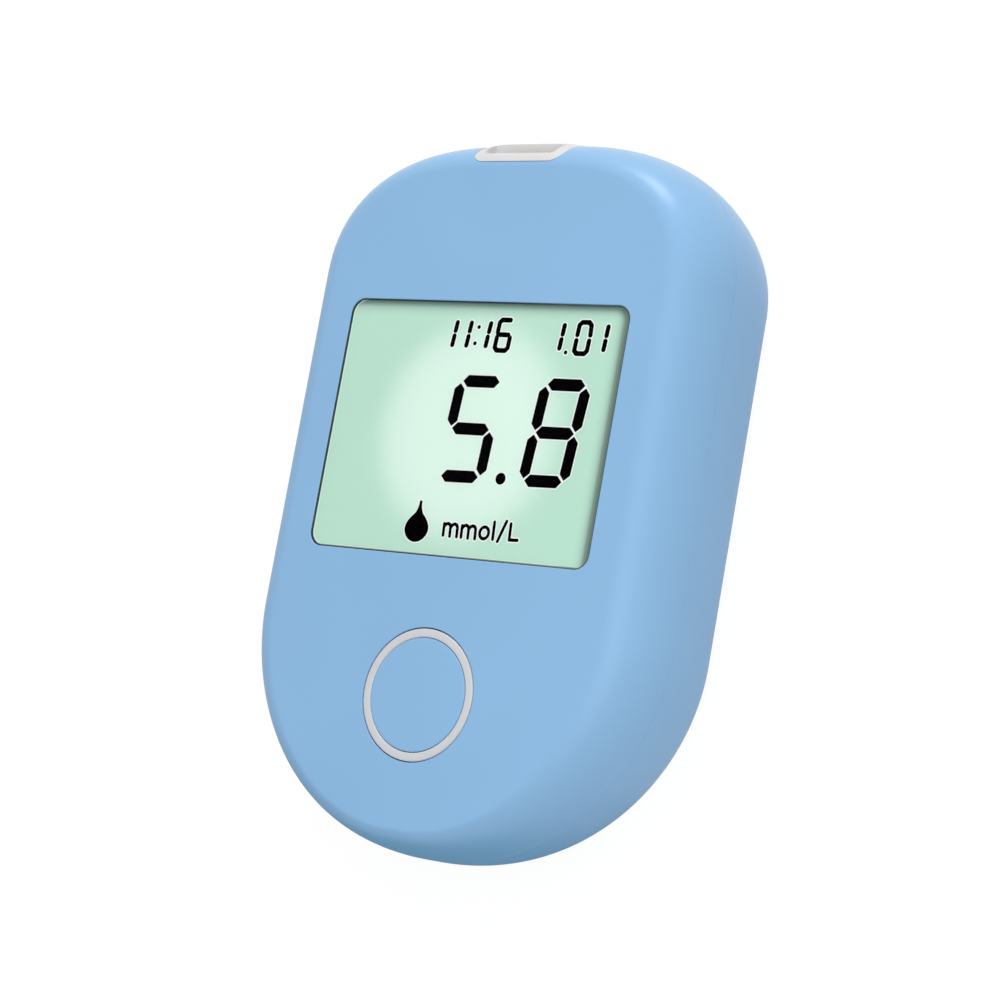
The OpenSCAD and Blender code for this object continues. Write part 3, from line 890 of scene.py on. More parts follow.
def board_laminate(inside):
    """Coated board with tracks, vias and pale cut edges."""
    recipe = Recipe("board_laminate")
    place = recipe.place()
    x, y, _ = recipe.axes(place)
    # patches that hold tracks one way, tracks the other way, or none
    chooser = recipe.cells(recipe.stretched(place, (0.16, 0.11, 0.0)), 1.0, "Color")
    pick = recipe.node("ShaderNodeSeparateColor", {}, {0: chooser})
    along = pick.rise(0.49, 0.51)
    busy = pick.other("Green").rise(0.38, 0.42)
    lines_x = x.from_middle(0.8).fall(0.12, 0.17)
    lines_y = y.from_middle(0.8).fall(0.12, 0.17)
    tracks = (lines_x * along + lines_y * (1 - along)) * busy
    via_radius = (x.from_middle(3.2) ** 2 + y.from_middle(2.4) ** 2).root()
    ring = via_radius.rise(0.14, 0.18) * via_radius.fall(0.30, 0.34) * (1 - busy)
    coat = recipe.mix(tracks, inside.mask, inside.track)
    gold = recipe.mix(ring, coat, linear(212, 176, 96))
    weave = recipe.noise(recipe.stretched(place, (3.0, 3.0, 0.6)), 2.0)
    cut = recipe.mix(0.5 + weave, tinted(inside.laminate, 0.9), tinted(inside.laminate, 1.1))
    _, _, upward = recipe.axes(recipe.normal())
    flat = abs(upward).rise(0.4, 0.6)
    shader = recipe.principled(
        base_color=recipe.mix(flat, cut, gold),
        roughness=0.75 - 0.4 * flat,
        metallic=ring * flat * 0.8,
        normal=recipe.bump(tracks + ring, 0.02),
    )
    return recipe.finish(shader)


def chip_finish(chip, inside, dimple_in):
    """Black moulding with bright legs beyond its sides and a dimple at its first leg."""
    recipe = Recipe(chip + "_moulding")
    place = recipe.place()
    x, y, _ = recipe.axes(place)
    low, high = node_box(chip)
    leg = 0.7
    side = (high.x - low.x) / 2 - leg
    dimple_x, dimple_y = low.x + leg + dimple_in, high.y - 0.8
    fine = recipe.noise(place, 8.0, 3.0)
    legs = abs(x - (low.x + high.x) / 2).rise(side - 0.01, side + 0.01)
    dimple = ((x - dimple_x) ** 2 + (y - dimple_y) ** 2).root().fall(0.3, 0.45)
    body = recipe.mix(0.5 + fine, tinted(inside.moulding, 0.8), tinted(inside.moulding, 1.3))
    shader = recipe.principled(
        base_color=recipe.mix(legs, body, linear(196, 198, 200)),
        metallic=legs,
        roughness=0.62 - 0.3 * legs + 0.1 * dimple,
        normal=recipe.bump(fine * 0.2 - dimple, 0.05),
    )
    return recipe.finish(shader)


def end_capped(name, tint, axis, middle, pitch):
    """Small board parts with bright ends, in rows at a pitch along one axis."""
    recipe = Recipe(name)
    place = recipe.place()
    run = recipe.axes(place)[axis] - (middle - pitch / 2)
    fine = recipe.noise(place, 9.0, 2.0)
    body = recipe.mix(0.5 + fine, tinted(tint, 0.85), tinted(tint, 1.12))
    ends = run.from_middle(pitch).rise(0.48, 0.52)
    shader = recipe.principled(
        base_color=recipe.mix(ends, body, linear(200, 202, 204)),
        metallic=ends,
        roughness=0.5 - 0.15 * ends,
    )
    return recipe.finish(shader)


def contact_rubber(inside):
    """Rubber strip with fine dark layers across its middle."""
    recipe = Recipe("contact_rubber")
    place = recipe.place()
    x, y, _ = recipe.axes(place)
    low, high = node_box("contact_strip")
    layers = x.from_middle(0.5).fall(0.10, 0.14)
    middle = abs(y - (low.y + high.y) / 2).fall(0.35, 0.45)
    fine = recipe.noise(place, 5.0)
    soft = recipe.mix(0.5 + fine, tinted(inside.rubber, 0.92), tinted(inside.rubber, 1.06))
    tone = recipe.mix(layers * middle, soft, linear(40, 38, 40))
    shader = recipe.principled(
        base_color=tone, roughness=0.7, specular_ior_level=0.3, normal=recipe.bump(fine, 0.01)
    )
    return recipe.finish(shader)


def foam(name):
    """Dark foam with open pores."""
    recipe = Recipe(name)
    pores = recipe.cells(recipe.place(), 6.0)
    tone = recipe.mix(pores.at_most(1.0), linear(22, 22, 24), linear(52, 52, 54))
    shader = recipe.principled(
        base_color=tone, roughness=0.95, specular_ior_level=0.1, normal=recipe.bump(pores, 0.05)
    )
    return recipe.finish(shader)


def glass_film(name, tint, opacity, roughness=0.1):
    """Thin clear layer of the display with a slight tint."""
    recipe = Recipe(name)
    haze = recipe.noise(recipe.place(), 0.4, 2.0)
    tone = recipe.mix(0.5 + haze, tinted(tint, 0.96), tinted(tint, 1.04))
    clear = recipe.node("ShaderNodeBsdfTransparent", {}, {"Color": (1, 1, 1, 1)})
    solid = recipe.principled(base_color=tone, roughness=roughness + 0.05 * haze)
    sockets = {0: opacity + 0.06 * haze, 1: clear, 2: solid}
    return recipe.finish(recipe.node("ShaderNodeMixShader", {}, sockets))


def frosted_guide():
    """Pale light guide with rows of extraction dots that grow away from the lamps."""
    recipe = Recipe("frosted_guide")
    x, y, _ = recipe.axes(recipe.place())
    from_dot = (x.from_middle(1.0) ** 2 + y.from_middle(1.0) ** 2).root()
    size = 0.12 + 0.006 * (y + 10.0)
    dots = (from_dot - size).fall(-0.03, 0.03)
    tone = recipe.mix(dots, linear(214, 232, 220), linear(248, 252, 249))
    shader = recipe.principled(base_color=tone, roughness=0.35 + 0.3 * dots, normal=recipe.bump(dots, 0.01))
    return recipe.finish(shader)


def lamp_body():
    """White lamp bodies with a yellow lens in the middle of each."""
    recipe = Recipe("lamp_body")
    place = recipe.place()
    x, _, z = recipe.axes(place)
    low, high = node_box("backlight_leds")
    pitch = 14.0
    beside, above = (x + pitch / 2).from_middle(pitch), abs(z - (low.z + high.z) / 2)
    lens = beside.fall(0.55, 0.65) * above.fall(0.22, 0.28)
    fine = recipe.noise(place, 6.0)
    body = recipe.mix(0.5 + fine, linear(226, 224, 214), linear(242, 240, 232))
    tone = recipe.mix(lens, body, linear(236, 206, 92))
    return recipe.finish(recipe.principled(base_color=tone, roughness=0.45 - 0.2 * lens))


def cell_wrap(name, inside, raised_end, along):
    """Jacket with a pale band near the raised end and bare metal at both ends."""
    recipe = Recipe(name)
    place = recipe.place()
    _, y, _ = recipe.axes(place)
    run = (raised_end - y) * along
    fine = recipe.noise(place, 1.2, 3.0)
    jacket = recipe.mix(0.5 + fine, tinted(inside.jacket, 0.93), tinted(inside.jacket, 1.07))
    banded = recipe.mix(run.fall(9.9, 10.1), jacket, inside.band)
    line = abs(run - 11.2).fall(0.25, 0.35)
    wrapped = recipe.mix(line, banded, inside.band)
    start, stop = 1.75, 43.95
    metal = 1 - run.rise(start - 0.05, start + 0.05) * run.fall(stop - 0.05, stop + 0.05)
    shader = recipe.principled(
        base_color=recipe.mix(metal, wrapped, linear(206, 207, 210)),
        metallic=metal,
        roughness=0.3 + 0.1 * fine,
        coat_weight=0.35 * (1 - metal),
        normal=recipe.bump(fine + metal, 0.01),
    )
    return recipe.finish(shader)


def label_paper(back):
    """Bare satin label with a thin printed frame line."""
    recipe = Recipe("label_paper")
    place = recipe.place()
    x, y, _ = recipe.axes(place)
    fibre = recipe.noise(recipe.stretched(place, (1.0, 0.35, 1.0)), 3.0, 4.0, 0.6)
    paper = recipe.mix(0.5 + fibre, tinted(back.label, 0.97), tinted(back.label, 1.02))
    inside = distance_in(x, y, LABEL_LOW, LABEL_HIGH, back.label_corner)
    line = inside.rise(0.85, 0.9) * inside.fall(1.1, 1.15)
    shader = recipe.principled(
        base_color=recipe.mix(line, paper, back.label_line),
        roughness=0.5 + 0.1 * fibre,
        normal=recipe.bump(fibre, 0.004),
    )
    return recipe.finish(shader)


def give(material, *nodes):
    """Puts a finish on CAD nodes that keep their own shape."""
    for name in nodes:
        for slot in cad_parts[name].material_slots:
            slot.material = material


# ---- Characters of the display, in millimetres ----

DRAWN_DEPTH = 0.65  # depth below the face for which the characters' places hold
HALO = 0.16  # how far the light edge reaches past a character
BIG_STROKE = 0.8
BIG_BEVEL = 0.76
BIG_BARS = [
    # the first digit: top, upper left, middle, lower right, bottom
    ((-2.1, 13.72), (3.65, 13.75)),
    ((-2.4, 13.4), (-2.75, 7.7)),
    ((-2.55, 7.45), (3.3, 7.47)),
    ((3.48, 7.2), (3.2, 1.5)),
    ((-2.9, 1.15), (2.9, 1.25)),
    # the second digit: top, upper left, upper right, middle, lower left, lower right, bottom
    ((11.1, 13.8), (16.8, 13.82)),
    ((10.85, 13.5), (10.4, 7.8)),
    ((17.0, 13.5), (16.5, 7.85)),
    ((10.55, 7.55), (16.35, 7.6)),
    ((10.35, 7.25), (9.9, 1.55)),
    ((16.45, 7.3), (16.0, 1.6)),
    ((10.1, 1.3), (15.75, 1.4)),
]
SMALL_STROKE = 0.33
SMALL_BARS = [
    # hours
    [(-4.68, 21.42), (-4.78, 20.32)],
    [(-4.82, 19.62), (-4.92, 18.42)],
    [(-2.42, 21.42), (-2.52, 20.32)],
    [(-2.56, 19.62), (-2.66, 18.42)],
    # minutes
    [(0.66, 21.42), (0.56, 20.32)],
    [(0.5, 19.62), (0.42, 18.45)],
    [(3.65, 21.95), (2.35, 21.95), (2.02, 21.6), (1.96, 20.32)],
    [(2.05, 20.0), (3.65, 20.0)],
    [(1.95, 19.62), (1.88, 18.3), (2.25, 17.92), (3.55, 17.92), (3.92, 18.3), (3.98, 19.62)],
    # date
    [(12.1, 21.5), (12.02, 20.35)],
    [(11.96, 19.65), (11.88, 18.52)],
    [(14.27, 20.35), (14.35, 21.6), (14.75, 21.98), (15.78, 21.98), (16.15, 21.6), (16.22, 20.35)],
    [(14.25, 19.6), (14.18, 18.3), (14.55, 17.92), (15.75, 17.92), (16.1, 18.3), (16.17, 19.6)],
    [(18.7, 21.5), (18.64, 20.35)],
    [(18.6, 19.65), (18.54, 18.55)],
]
SMALL_DOTS = [(-1.15, 20.9), (-1.35, 18.72), (12.95, 18.0)]
SMALL_DOT_RADIUS = 0.27
BIG_DOT = (6.45, 1.3)
BIG_DOT_RADIUS = 0.77
UNIT_STROKE = 0.22
UNIT_LINES = [
    [(-1.0, -5.05), (-0.9, -6.55)],
    [(0.05, -5.3), (0.15, -6.6)],
    [(1.15, -5.35), (1.25, -6.6)],
    [(-0.98, -5.45), (-0.72, -5.08), (-0.4, -4.98), (-0.1, -5.08), (0.06, -5.4)],
    [(0.08, -5.45), (0.34, -5.1), (0.66, -4.98), (0.98, -5.08), (1.15, -5.4)],
    [(1.85, -5.1), (1.95, -6.6)],
    [(2.92, -5.35), (3.02, -6.65)],
    [(4.02, -5.4), (4.12, -6.65)],
    [(1.87, -5.5), (2.13, -5.12), (2.46, -5.0), (2.76, -5.12), (2.93, -5.45)],
    [(2.95, -5.5), (3.2, -5.14), (3.53, -5.02), (3.85, -5.12), (4.02, -5.45)],
    [(6.75, -4.3), (6.88, -6.5)],
    [(8.58, -4.05), (7.66, -6.72)],
    [(9.3, -4.35), (9.42, -6.4), (10.65, -6.36)],
]
UNIT_O = (5.42, -5.78, 0.69, 0.76)  # middle and half sizes of the round letter
DROP_SIDE = [
    (0.2, -2.3),
    (0.22, -2.8),
    (0.33, -3.35),
    (0.6, -3.95),
    (1.1, -4.42),
    (1.55, -4.95),
    (1.84, -5.55),
]
DROP_X = -5.3
DROP_ROUND = (-5.82, 1.92, 1.93)  # height of its middle and half sizes of the round body


def bar_outline(start, end, half, bevel, grow):
    """Outline of a bar with mitred ends, grown by a margin on every side."""
    a, b = Vector(start), Vector(end)
    along = (b - a).normalized()
    across = (half + grow) * Vector((-along.y, along.x))
    tip = grow * math.sqrt(2) * along
    shoulder = (bevel - grow * 0.41) * along
    near, far = a + shoulder, b - shoulder
    corners = (a - tip, near - across, far - across, b + tip, far + across, near + across)
    return [(p.x, p.y) for p in corners]


def rod_outline(start, end, radius, steps=10):
    """Outline of a straight stroke with round ends."""
    a, b = Vector(start), Vector(end)
    heading = math.atan2(b.y - a.y, b.x - a.x)
    points = []
    for centre, turn in ((b, heading - math.pi / 2), (a, heading + math.pi / 2)):
        for k in range(steps + 1):
            angle = turn + math.pi * k / steps
            points.append((centre.x + radius * math.cos(angle), centre.y + radius * math.sin(angle)))
    return points


def drop_outline(grow):
    """Outline of the drop: a narrow neck that swells into a round body."""
    centre_y, radius_x, radius_y = DROP_ROUND
    side = [(x + grow, y + (grow if k == 0 else 0)) for k, (x, y) in enumerate(DROP_SIDE)]
    below = []
    for k in range(1, 24):
        angle = -math.pi * k / 24
        below.append(((radius_x + grow) * math.cos(angle), centre_y + (radius_y + grow) * math.sin(angle)))
    clockwise = side + below + [(-x, y) for x, y in reversed(side)]
    return [(DROP_X + x, y) for x, y in reversed(clockwise)]


def character_outlines(grow):
    """Outlines of every character on the display, grown by a margin."""
    outlines = [bar_outline(a, b, BIG_STROKE, BIG_BEVEL, grow) for a, b in BIG_BARS]
    for strokes, radius in ((SMALL_BARS, SMALL_STROKE), (UNIT_LINES, UNIT_STROKE)):
        for stroke in strokes:
            for a, b in zip(stroke, stroke[1:]):
                outlines.append(rod_outline(a, b, radius + grow))
    x, y, radius_x, radius_y = UNIT_O
    turns = [2 * math.pi * k / 20 for k in range(21)]
    letter = [(x + radius_x * math.cos(t), y + radius_y * math.sin(t)) for t in turns]
    for a, b in zip(letter, letter[1:]):
        outlines.append(rod_outline(a, b, UNIT_STROKE + grow))
    dots = [(dot, SMALL_DOT_RADIUS) for dot in SMALL_DOTS] + [(BIG_DOT, BIG_DOT_RADIUS)]
    for dot, radius in dots:
        outlines.append([(px, py) for px, py, _ in circle(radius + grow, 0, dot, 32)])
    outlines.append(drop_outline(grow))
    return outlines


def print_layer(grow, shift, low, high):
    """Thin solid of all the characters, merged where strokes cross."""
    *prisms, last = [
        prism([(x + shift[0], y + shift[1]) for x, y in outline], low, high)
        for outline in character_outlines(grow)
    ]
    return combine("UNION", together(*prisms), last, tangled=True)


# ---- Solids of the pieces ----

CASE_SCREWS = [(22.5, 33), (-22.5, 33), (20.5, -28), (-20.5, -28)]
BOARD_SCREWS = [(13.5, 36.5), (-13.5, 36.5), (20.5, -19), (-20.5, -19)]
CASE_POST, CASE_HOLE = 2.6, 1.03  # radii of the posts and holes for the case screws
BOARD_POST, BOARD_HOLE = 2.3, 0.83  # and for the board screws
BOARD_TOP = 14.7
LENS_STEP = 0.7  # depth of the lens's step below the face
PORT_DEPTH = 6.0  # depth of the port frame's base below the face
TRAY = SimpleNamespace(half=26.5, low=21.1, high=21.3)  # space of the display's tray round its middle
BAY = SimpleNamespace(half=11.5, low=-39.2, high=11.8, ceiling=12.5, wall=1.4, top_wall=2.4, end_wall=1.6)
CELL_X = 5.6
CELL_RADIUS = 5.25
CELL_HEIGHT = 7.15
CELL_LENGTH = 44.5


def port_prism(case, port, gap):
    """Space of the port frame: round corners in plan and at its lower edges."""
    half = port.width / 2 + gap
    base = case.thickness - PORT_DEPTH - gap
    upright = rounded_plate(half, 10, 1.9, (0, port.front - gap + 10), base, case.thickness + PAST)
    level = rounded_plate(half, 10, 1.5, (0, base + 10), -FAR, -FAR / 2)
    turn = Matrix(((1, 0, 0, 0), (0, 0, -1, 0), (0, 1, 0, 0), (0, 0, 0, 1)))
    return common(upright, turned(level, turn))


def front_cover_solid(case, window, button, port):
    """Front cover with its posts, window, button bore and port opening."""
    form = CaseForm(case)
    seam, face = case.seam_height, case.thickness
    inner_face = face - case.skin
    edge = []
    for _, rise in quarter_round(case.seam_round, 4)[:-1]:
        edge.append(form.front_ring(form.front_angle(seam + rise), inset=case.seam_round - rise))
    shell = without(
        loft(edge + form.front_rings(seam + case.seam_round) + [form.face_ring(0.6)]),
        loft(form.front_rings(seam - 1, case.wall, case.skin)),
        loft([form.even_ring(0.95, z) for z in (seam - 0.5, seam + 1.2)]),
    )
    post_top = inner_face + 0.5
    posts = [disc(CASE_POST, seam, post_top, place) for place in CASE_SCREWS]
    posts += [disc(BOARD_POST, BOARD_TOP, post_top, place) for place in BOARD_SCREWS]
    bore = button.ring_radius + button.bore_gap
    bore_place = (0, button.middle)
    collar_low = face - 3.3
    posts.append(disc(bore + 1.2, collar_low, post_top, bore_place, TURN_STEPS))
    shell = with_added(shell, together(*posts))

    centre = (0, window.middle)
    half_w, half_h = window.width / 2, window.height / 2

    def window_ring(grow, height):
        return rounded_rect(half_w + grow, half_h + grow, window.corner + grow, centre, height)

    def bore_ring(grow, height):
        return circle(bore + grow, height, bore_place)

    ledge = rounded_plate(half_w + 1.9, half_h + 1.9, 1.6, centre, inner_face - 1, face - LENS_STEP)
    tray = block(
        (-TRAY.half, window.middle - TRAY.low, inner_face - 1),
        (TRAY.half, window.middle + TRAY.high, LENS_LOW.z),
    )
    holes = [disc(CASE_HOLE, seam - 1, inner_face - 1.2, place) for place in CASE_SCREWS]
    holes += [disc(BOARD_HOLE, BOARD_TOP - 1, inner_face - 1, place) for place in BOARD_SCREWS]
    return without(
        shell,
        mouth(window_ring, inner_face - 1, face, window.edge_round),
        ledge,
        tray,
        mouth(bore_ring, collar_low - 1, face, button.edge_round),
        together(*holes),
        port_prism(case, port, port.gap),
    )


def door_plan(back, margin, low, high, lip):
    """Two solids: the door's plate and its end wall, each grown by a margin."""
    half = back.door_width / 2 + margin
    top = back.door_top + margin
    end_gap = 0 if margin else 0.2
    plate = rounded_plate(half, (top + FAR) / 2, back.door_corner, (0, (top - FAR) / 2), low, high)
    end = block((-half, -FAR, low), (half, BAY.low - BAY.end_wall - end_gap, lip))
    return plate, end


def bay_walls():
    """Walls, ceiling and rails round the cells, and the shelf behind the door's end."""
    top, bottom = BAY.high + BAY.top_wall, BAY.low - 8
    side, outer, cheek = BAY.half + BAY.wall, BAY.half + 3.5, 12.6
    rail_top, shelf_low, shelf_high = 3.0, 7.6, 8.8
    walls = block((-side, BAY.low - BAY.end_wall, 0), (side, top, BAY.ceiling + 0.8))
    rails = block((-outer, bottom, 0), (outer, top, rail_top))
    right_cheek = block((cheek, bottom, 0), (outer, BAY.low, shelf_high))
    left_cheek = block((-outer, bottom, 0), (-cheek, BAY.low, shelf_high))
    shelf = block((-outer, bottom, shelf_low), (outer, BAY.low, shelf_high))
    return with_added(walls, rails, right_cheek, left_cheek, shelf)


def screw_seat(place):
    """Cutter for the recess of a case screw's head, with a rounded edge at the back."""
    radius, depth, edge = 2.2, 5.0, 0.15

    def ring(grow, height):
        return circle(radius + grow, -height, place, 64)[::-1]

    return mouth(ring, -depth, 0.0, edge)


def rear_cover_solid(case, back):
    """Rear cover with its tongue, posts, cell bay, door opening and label recess."""
    form = CaseForm(case)
    seam = case.seam_height
    edge_low = seam - case.seam_round
    edge = []
    for inset, rise in quarter_round(case.seam_round, 4)[1:]:
        edge.append(form.front_ring(form.front_angle(edge_low + rise), inset=inset))
    outer = loft(
        [form.flat_back_ring(0.6)]
        + form.back_rings()
        + [form.front_ring(angle) for angle in (0, form.front_angle(seam) / 2, form.front_angle(edge_low))]
        + edge
    )
    inner_top = [form.front_ring(angle, case.wall) for angle in (0, 15)]
    shell = without(outer, loft(form.back_rings(case.wall, case.skin) + inner_top))
    tongue = without(
        loft([form.even_ring(1.1, z) for z in (seam - 0.5, seam + 1.0)]),
        loft([form.even_ring(case.wall, z) for z in (seam - 1.5, seam + 2.0)]),
    )
    posts = [disc(3.2, case.skin - 0.5, seam - 0.05, place) for place in CASE_SCREWS]
    shell = with_added(shell, tongue, together(*posts), common(form.whole(), bay_walls()))

    door_space = back.door_thickness + back.door_gap
    plate, end = door_plan(back, back.door_gap, -PAST, door_space, back.door_lip + 0.2)
    slots = block((-13.7, -FAR, 0.8), (13.7, back.door_top - 0.8, door_space))
    wells = [disc(1.2, 1, seam + 1, place) for place in CASE_SCREWS]
    seats = [screw_seat(place) for place in CASE_SCREWS]
    ways = [
        block((x - 1.3, BAY.high - 0.6, 11.5), (x + 1.3, BAY.high + 0.1, 13.5)) for x in (-CELL_X, CELL_X)
    ]
    gap = 0.2
    recess = rounded_plate(
        LABEL_HALF.x + gap,
        LABEL_HALF.y + gap,
        back.label_corner + gap,
        LABEL_MIDDLE[:2],
        -PAST,
        back.label_recess,
    )
    return without(
        shell,
        block((-BAY.half, BAY.low, -PAST), (BAY.half, BAY.high, BAY.ceiling)),
        plate,
        slots,
        end,
        together(*wells),
        together(*seats),
        together(*ways),
        recess,
    )


def grip_groove(y):
    """Cutter for one rounded groove of the thumb grip. Its ends are rounded too."""
    radius, depth, half = 0.464, 0.35, 6.0
    turns = [2 * math.pi * j / 24 for j in range(24)]
    rings = []
    for k in range(-8, 9):
        lean = math.pi / 2 * k / 8.4
        end = half - radius if k > 0 else radius - half
        x, r = end + radius * math.sin(lean), radius * math.cos(lean)
        rings.append([(x, y + r * math.cos(t), depth - radius + r * math.sin(t)) for t in turns])
    return loft(rings)


def battery_door_solid(case, back):
    """Door with its end wall, two tongues and five grooves for the thumb."""
    form = CaseForm(case)
    thick = back.door_thickness
    inner = loft(form.back_rings(thick, thick) + [form.front_ring(0, thick)])
    plate, end = door_plan(back, 0.0, -PAST, thick, back.door_lip)
    body = common(without(form.whole(), inner), with_added(plate, end))
    tongue_x = back.door_width / 2 + 0.3
    tongues = [
        block((x - 0.8, BAY.low + 2, 1.0), (x + 0.8, back.door_top - 1.2, thick))
        for x in (-tongue_x, tongue_x)
    ]
    body = with_added(body, *tongues)
    first_groove, pitch = -31.55, 1.8
    grooves = [grip_groove(first_groove + pitch * k) for k in range(5)]
    return without(body, together(*grooves))


def lens_solid(case, window):
    """Clear lens whose upper step fills the window."""
    centre = (0, window.middle)
    half = (LENS_HIGH - LENS_LOW) / 2
    step = case.thickness - LENS_STEP
    boss_w = window.width / 2 - window.lens_gap
    boss_h = window.height / 2 - window.lens_gap
    corner = window.corner - window.lens_gap
    rings = [rounded_rect(half.x, half.y, 1.5, centre, z) for z in (LENS_LOW.z, step)]
    rings.append(rounded_rect(boss_w, boss_h, corner, centre, step))
    edge = 0.05
    for inset, rise in quarter_round(edge, 4):
        height = LENS_HIGH.z - edge + rise
        rings.append(rounded_rect(boss_w - inset, boss_h - inset, corner - inset, centre, height))
    return loft(rings)


def image_solid(case, window):
    """Plate of the display's image, from the front film up."""
    half_w = window.width / 2 - window.lens_gap - 0.02
    half_h = window.height / 2 - window.lens_gap - 0.02
    base, top = 19.52, case.thickness - window.image_depth
    return rounded_plate(half_w, half_h, window.corner - 0.15, (0, window.middle), base, top)


def seal_solid(case, window):
    """Dark bead that fills the gap between the lens and the window."""
    base, top = 20.22, case.thickness - 0.14
    outline = ((0.01, base), (0.01, top - 0.03), (0.04, top), (0.11, top), (0.14, top - 0.03), (0.14, base))
    half_w, half_h, centre = window.width / 2, window.height / 2, (0, window.middle)
    rings = [
        rounded_rect(half_w - inset, half_h - inset, window.corner - inset, centre, z)
        for inset, z in outline
    ]
    return loft(rings, closed=True)


def cap_solid(case, button):
    """Button cap: a stem over the switch, a wide skirt and the visible round top."""
    top = case.thickness
    stem, skirt = 1.6, button.ring_radius - 1.1
    foot, foot_low, foot_high = 9.6, 16.85, 17.55
    flange, shoulder = button.ring_radius - 0.06, top - 1.24
    radius = button.ring_radius - button.ring_width - 0.06
    profile = [(stem, 18.05), (stem, top - 2.1), (skirt, top - 2.1), (skirt, foot_low)]
    profile += [(foot, foot_low), (foot, foot_high), (flange, foot_high), (flange, shoulder)]
    profile.append((radius, shoulder))
    edge = button.edge_round
    profile += [(radius - inset, top - edge + rise) for inset, rise in quarter_round(edge)]
    profile.append((radius - 0.6, top))
    return lathe(profile, (0, button.middle))


def ring_solid(case, button):
    """Pale ring round the cap, rounded at both of its upper edges."""
    top, edge = case.thickness, button.edge_round * 1.8
    outer, inner = button.ring_radius, button.ring_radius - button.ring_width
    profile = [(inner, top - 1.2), (outer, top - 1.2)]
    profile += [(outer - inset, top - edge + rise) for inset, rise in quarter_round(edge)]
    profile += [(inner + inset, top - edge + rise) for inset, rise in reversed(quarter_round(edge))]
    return lathe(profile, (0, button.middle), closed=True)


def port_solid(case, port):
    """Frame of the strip port: a softly bulging end, a shoulder inside and the recess for a strip."""
    bulge = Matrix.Translation((0, port.proud, 0)) @ Matrix.Diagonal((0.57, 1, 1, 1))
    frame_part = common(turned(CaseForm(case).whole(), bulge), port_prism(case, port, 0.0))
    base, lid = case.thickness - PORT_DEPTH, case.thickness - case.skin - 0.4
    inner_end = 41.4
    half = port.width / 2
    shoulder = block((-half - 1.6, inner_end, base), (half + 1.6, port.front - 0.2, lid))
    throat = block((-half + 0.3, inner_end, base), (half - 0.3, port.front + 1, lid))
    shelf = case.thickness - port.shelf_depth
    recess_front = port.front + port.rim
    recess = rounded_plate(
        half - port.arm, 10, 0.7, (0, recess_front + 10), shelf, case.thickness + PAST
    )
    slot = block((-4.2, inner_end - 1, shelf), (4.2, FAR, shelf + 0.8))
    return without(with_added(frame_part, shoulder, throat), recess, slot)


def lying(mesh, x, y, along):
    """An upright mesh laid down at the cells' height, pointing to the port end if along is 1 and to
    the round end if it is -1."""
    turn = Matrix.Rotation(-along * math.pi / 2, 4, "X")
    return turned(mesh, Matrix.Translation((x, y, CELL_HEIGHT)) @ turn)


def cell_solid(raised_end, along, x):
    """Cell lying along the case, its raised end at raised_end."""
    radius, top = CELL_RADIUS, CELL_LENGTH
    profile = [(3.4, 0.12), (3.6, 0.0), (radius - 0.7, 0.0)]
    for a in (0.4, 0.8, 1.2, 1.57):
        profile.append((radius - 0.7 + 0.6 * math.sin(a), 0.6 - 0.6 * math.cos(a)))
    profile += [(radius, 0.75), (radius, top - 2.1)]
    for a in (0.5, 1.0, 1.4):
        profile.append((radius - 0.8 * (1 - math.cos(a)), top - 2.1 + 0.75 * math.sin(a)))
    profile += [(radius - 0.85, top - 1.3), (2.1, top - 1.2), (1.9, top - 1.0)]
    profile += [(1.9, top - 0.35), (1.78, top - 0.1), (1.55, top)]
    return lying(lathe(profile, steps=72), x, raised_end - along * CELL_LENGTH, along)


def spring_solid(x, seat, along):
    """Conical spring between a contact plate and a cell's flat end."""
    wire, height, turns, steps, sides = 0.35, 5.7, 4, 28, 12
    up = Vector((0, 0, 1))
    rings = []
    for k in range(turns * steps + 1):
        done = k / (turns * steps)
        angle = 2 * math.pi * k / steps
        out = Vector((math.cos(angle), math.sin(angle), 0))
        # the first and last turns lie flat
        rise = wire + (height - 2 * wire) * min(max((done - 0.12) / 0.76, 0.0), 1.0)
        middle = (3.7 - 1.1 * done) * out + rise * up
        ring = []
        for side in range(sides):
            a = -2 * math.pi * side / sides
            ring.append(tuple(middle + wire * (math.cos(a) * out + math.sin(a) * up)))
        rings.append(ring)
    return lying(loft(rings), x, seat, along)


# ---- Operators ----


class MeterOperator(bpy.types.Operator):
    """Step that builds or finishes pieces of the meter"""

    bl_options = {"REGISTER", "UNDO"}

    def sizes(self, context, *names):
        """Values of the named property groups."""
        return [measures(getattr(context.scene, "meter_" + name)) for name in names]


class METER_OT_front_cover(MeterOperator):
    """Builds the front cover with its window, button bore and port opening"""

    bl_idname = "meter.front_cover"
    bl_label = "Front cover"

    def execute(self, context):
        case, window, button, port = self.sizes(context, "case", "window", "button", "port")
        mesh = front_cover_solid(case, window, button, port)
        piece("front_moulding", mesh, "case", case_material(case), ["front_cover"])
        return {"FINISHED"}


class METER_OT_rear_cover(MeterOperator):
    """Builds the rear cover with the cell bay"""

    bl_idname = "meter.rear_cover"
    bl_label = "Rear cover"

    def execute(self, context):
        case, back = self.sizes(context, "case", "back")
        mesh = rear_cover_solid(case, back)
        piece("rear_moulding", mesh, "case", case_material(case), ["rear_cover"])
        return {"FINISHED"}


class METER_OT_battery_door(MeterOperator):
    """Builds the sliding battery door with its thumb grip"""

    bl_idname = "meter.battery_door"
    bl_label = "Battery door"

    def execute(self, context):
        case, back = self.sizes(context, "case", "back")
        mesh = battery_door_solid(case, back)
        piece("door_moulding", mesh, "door", case_material(case), ["battery_door"])
        return {"FINISHED"}


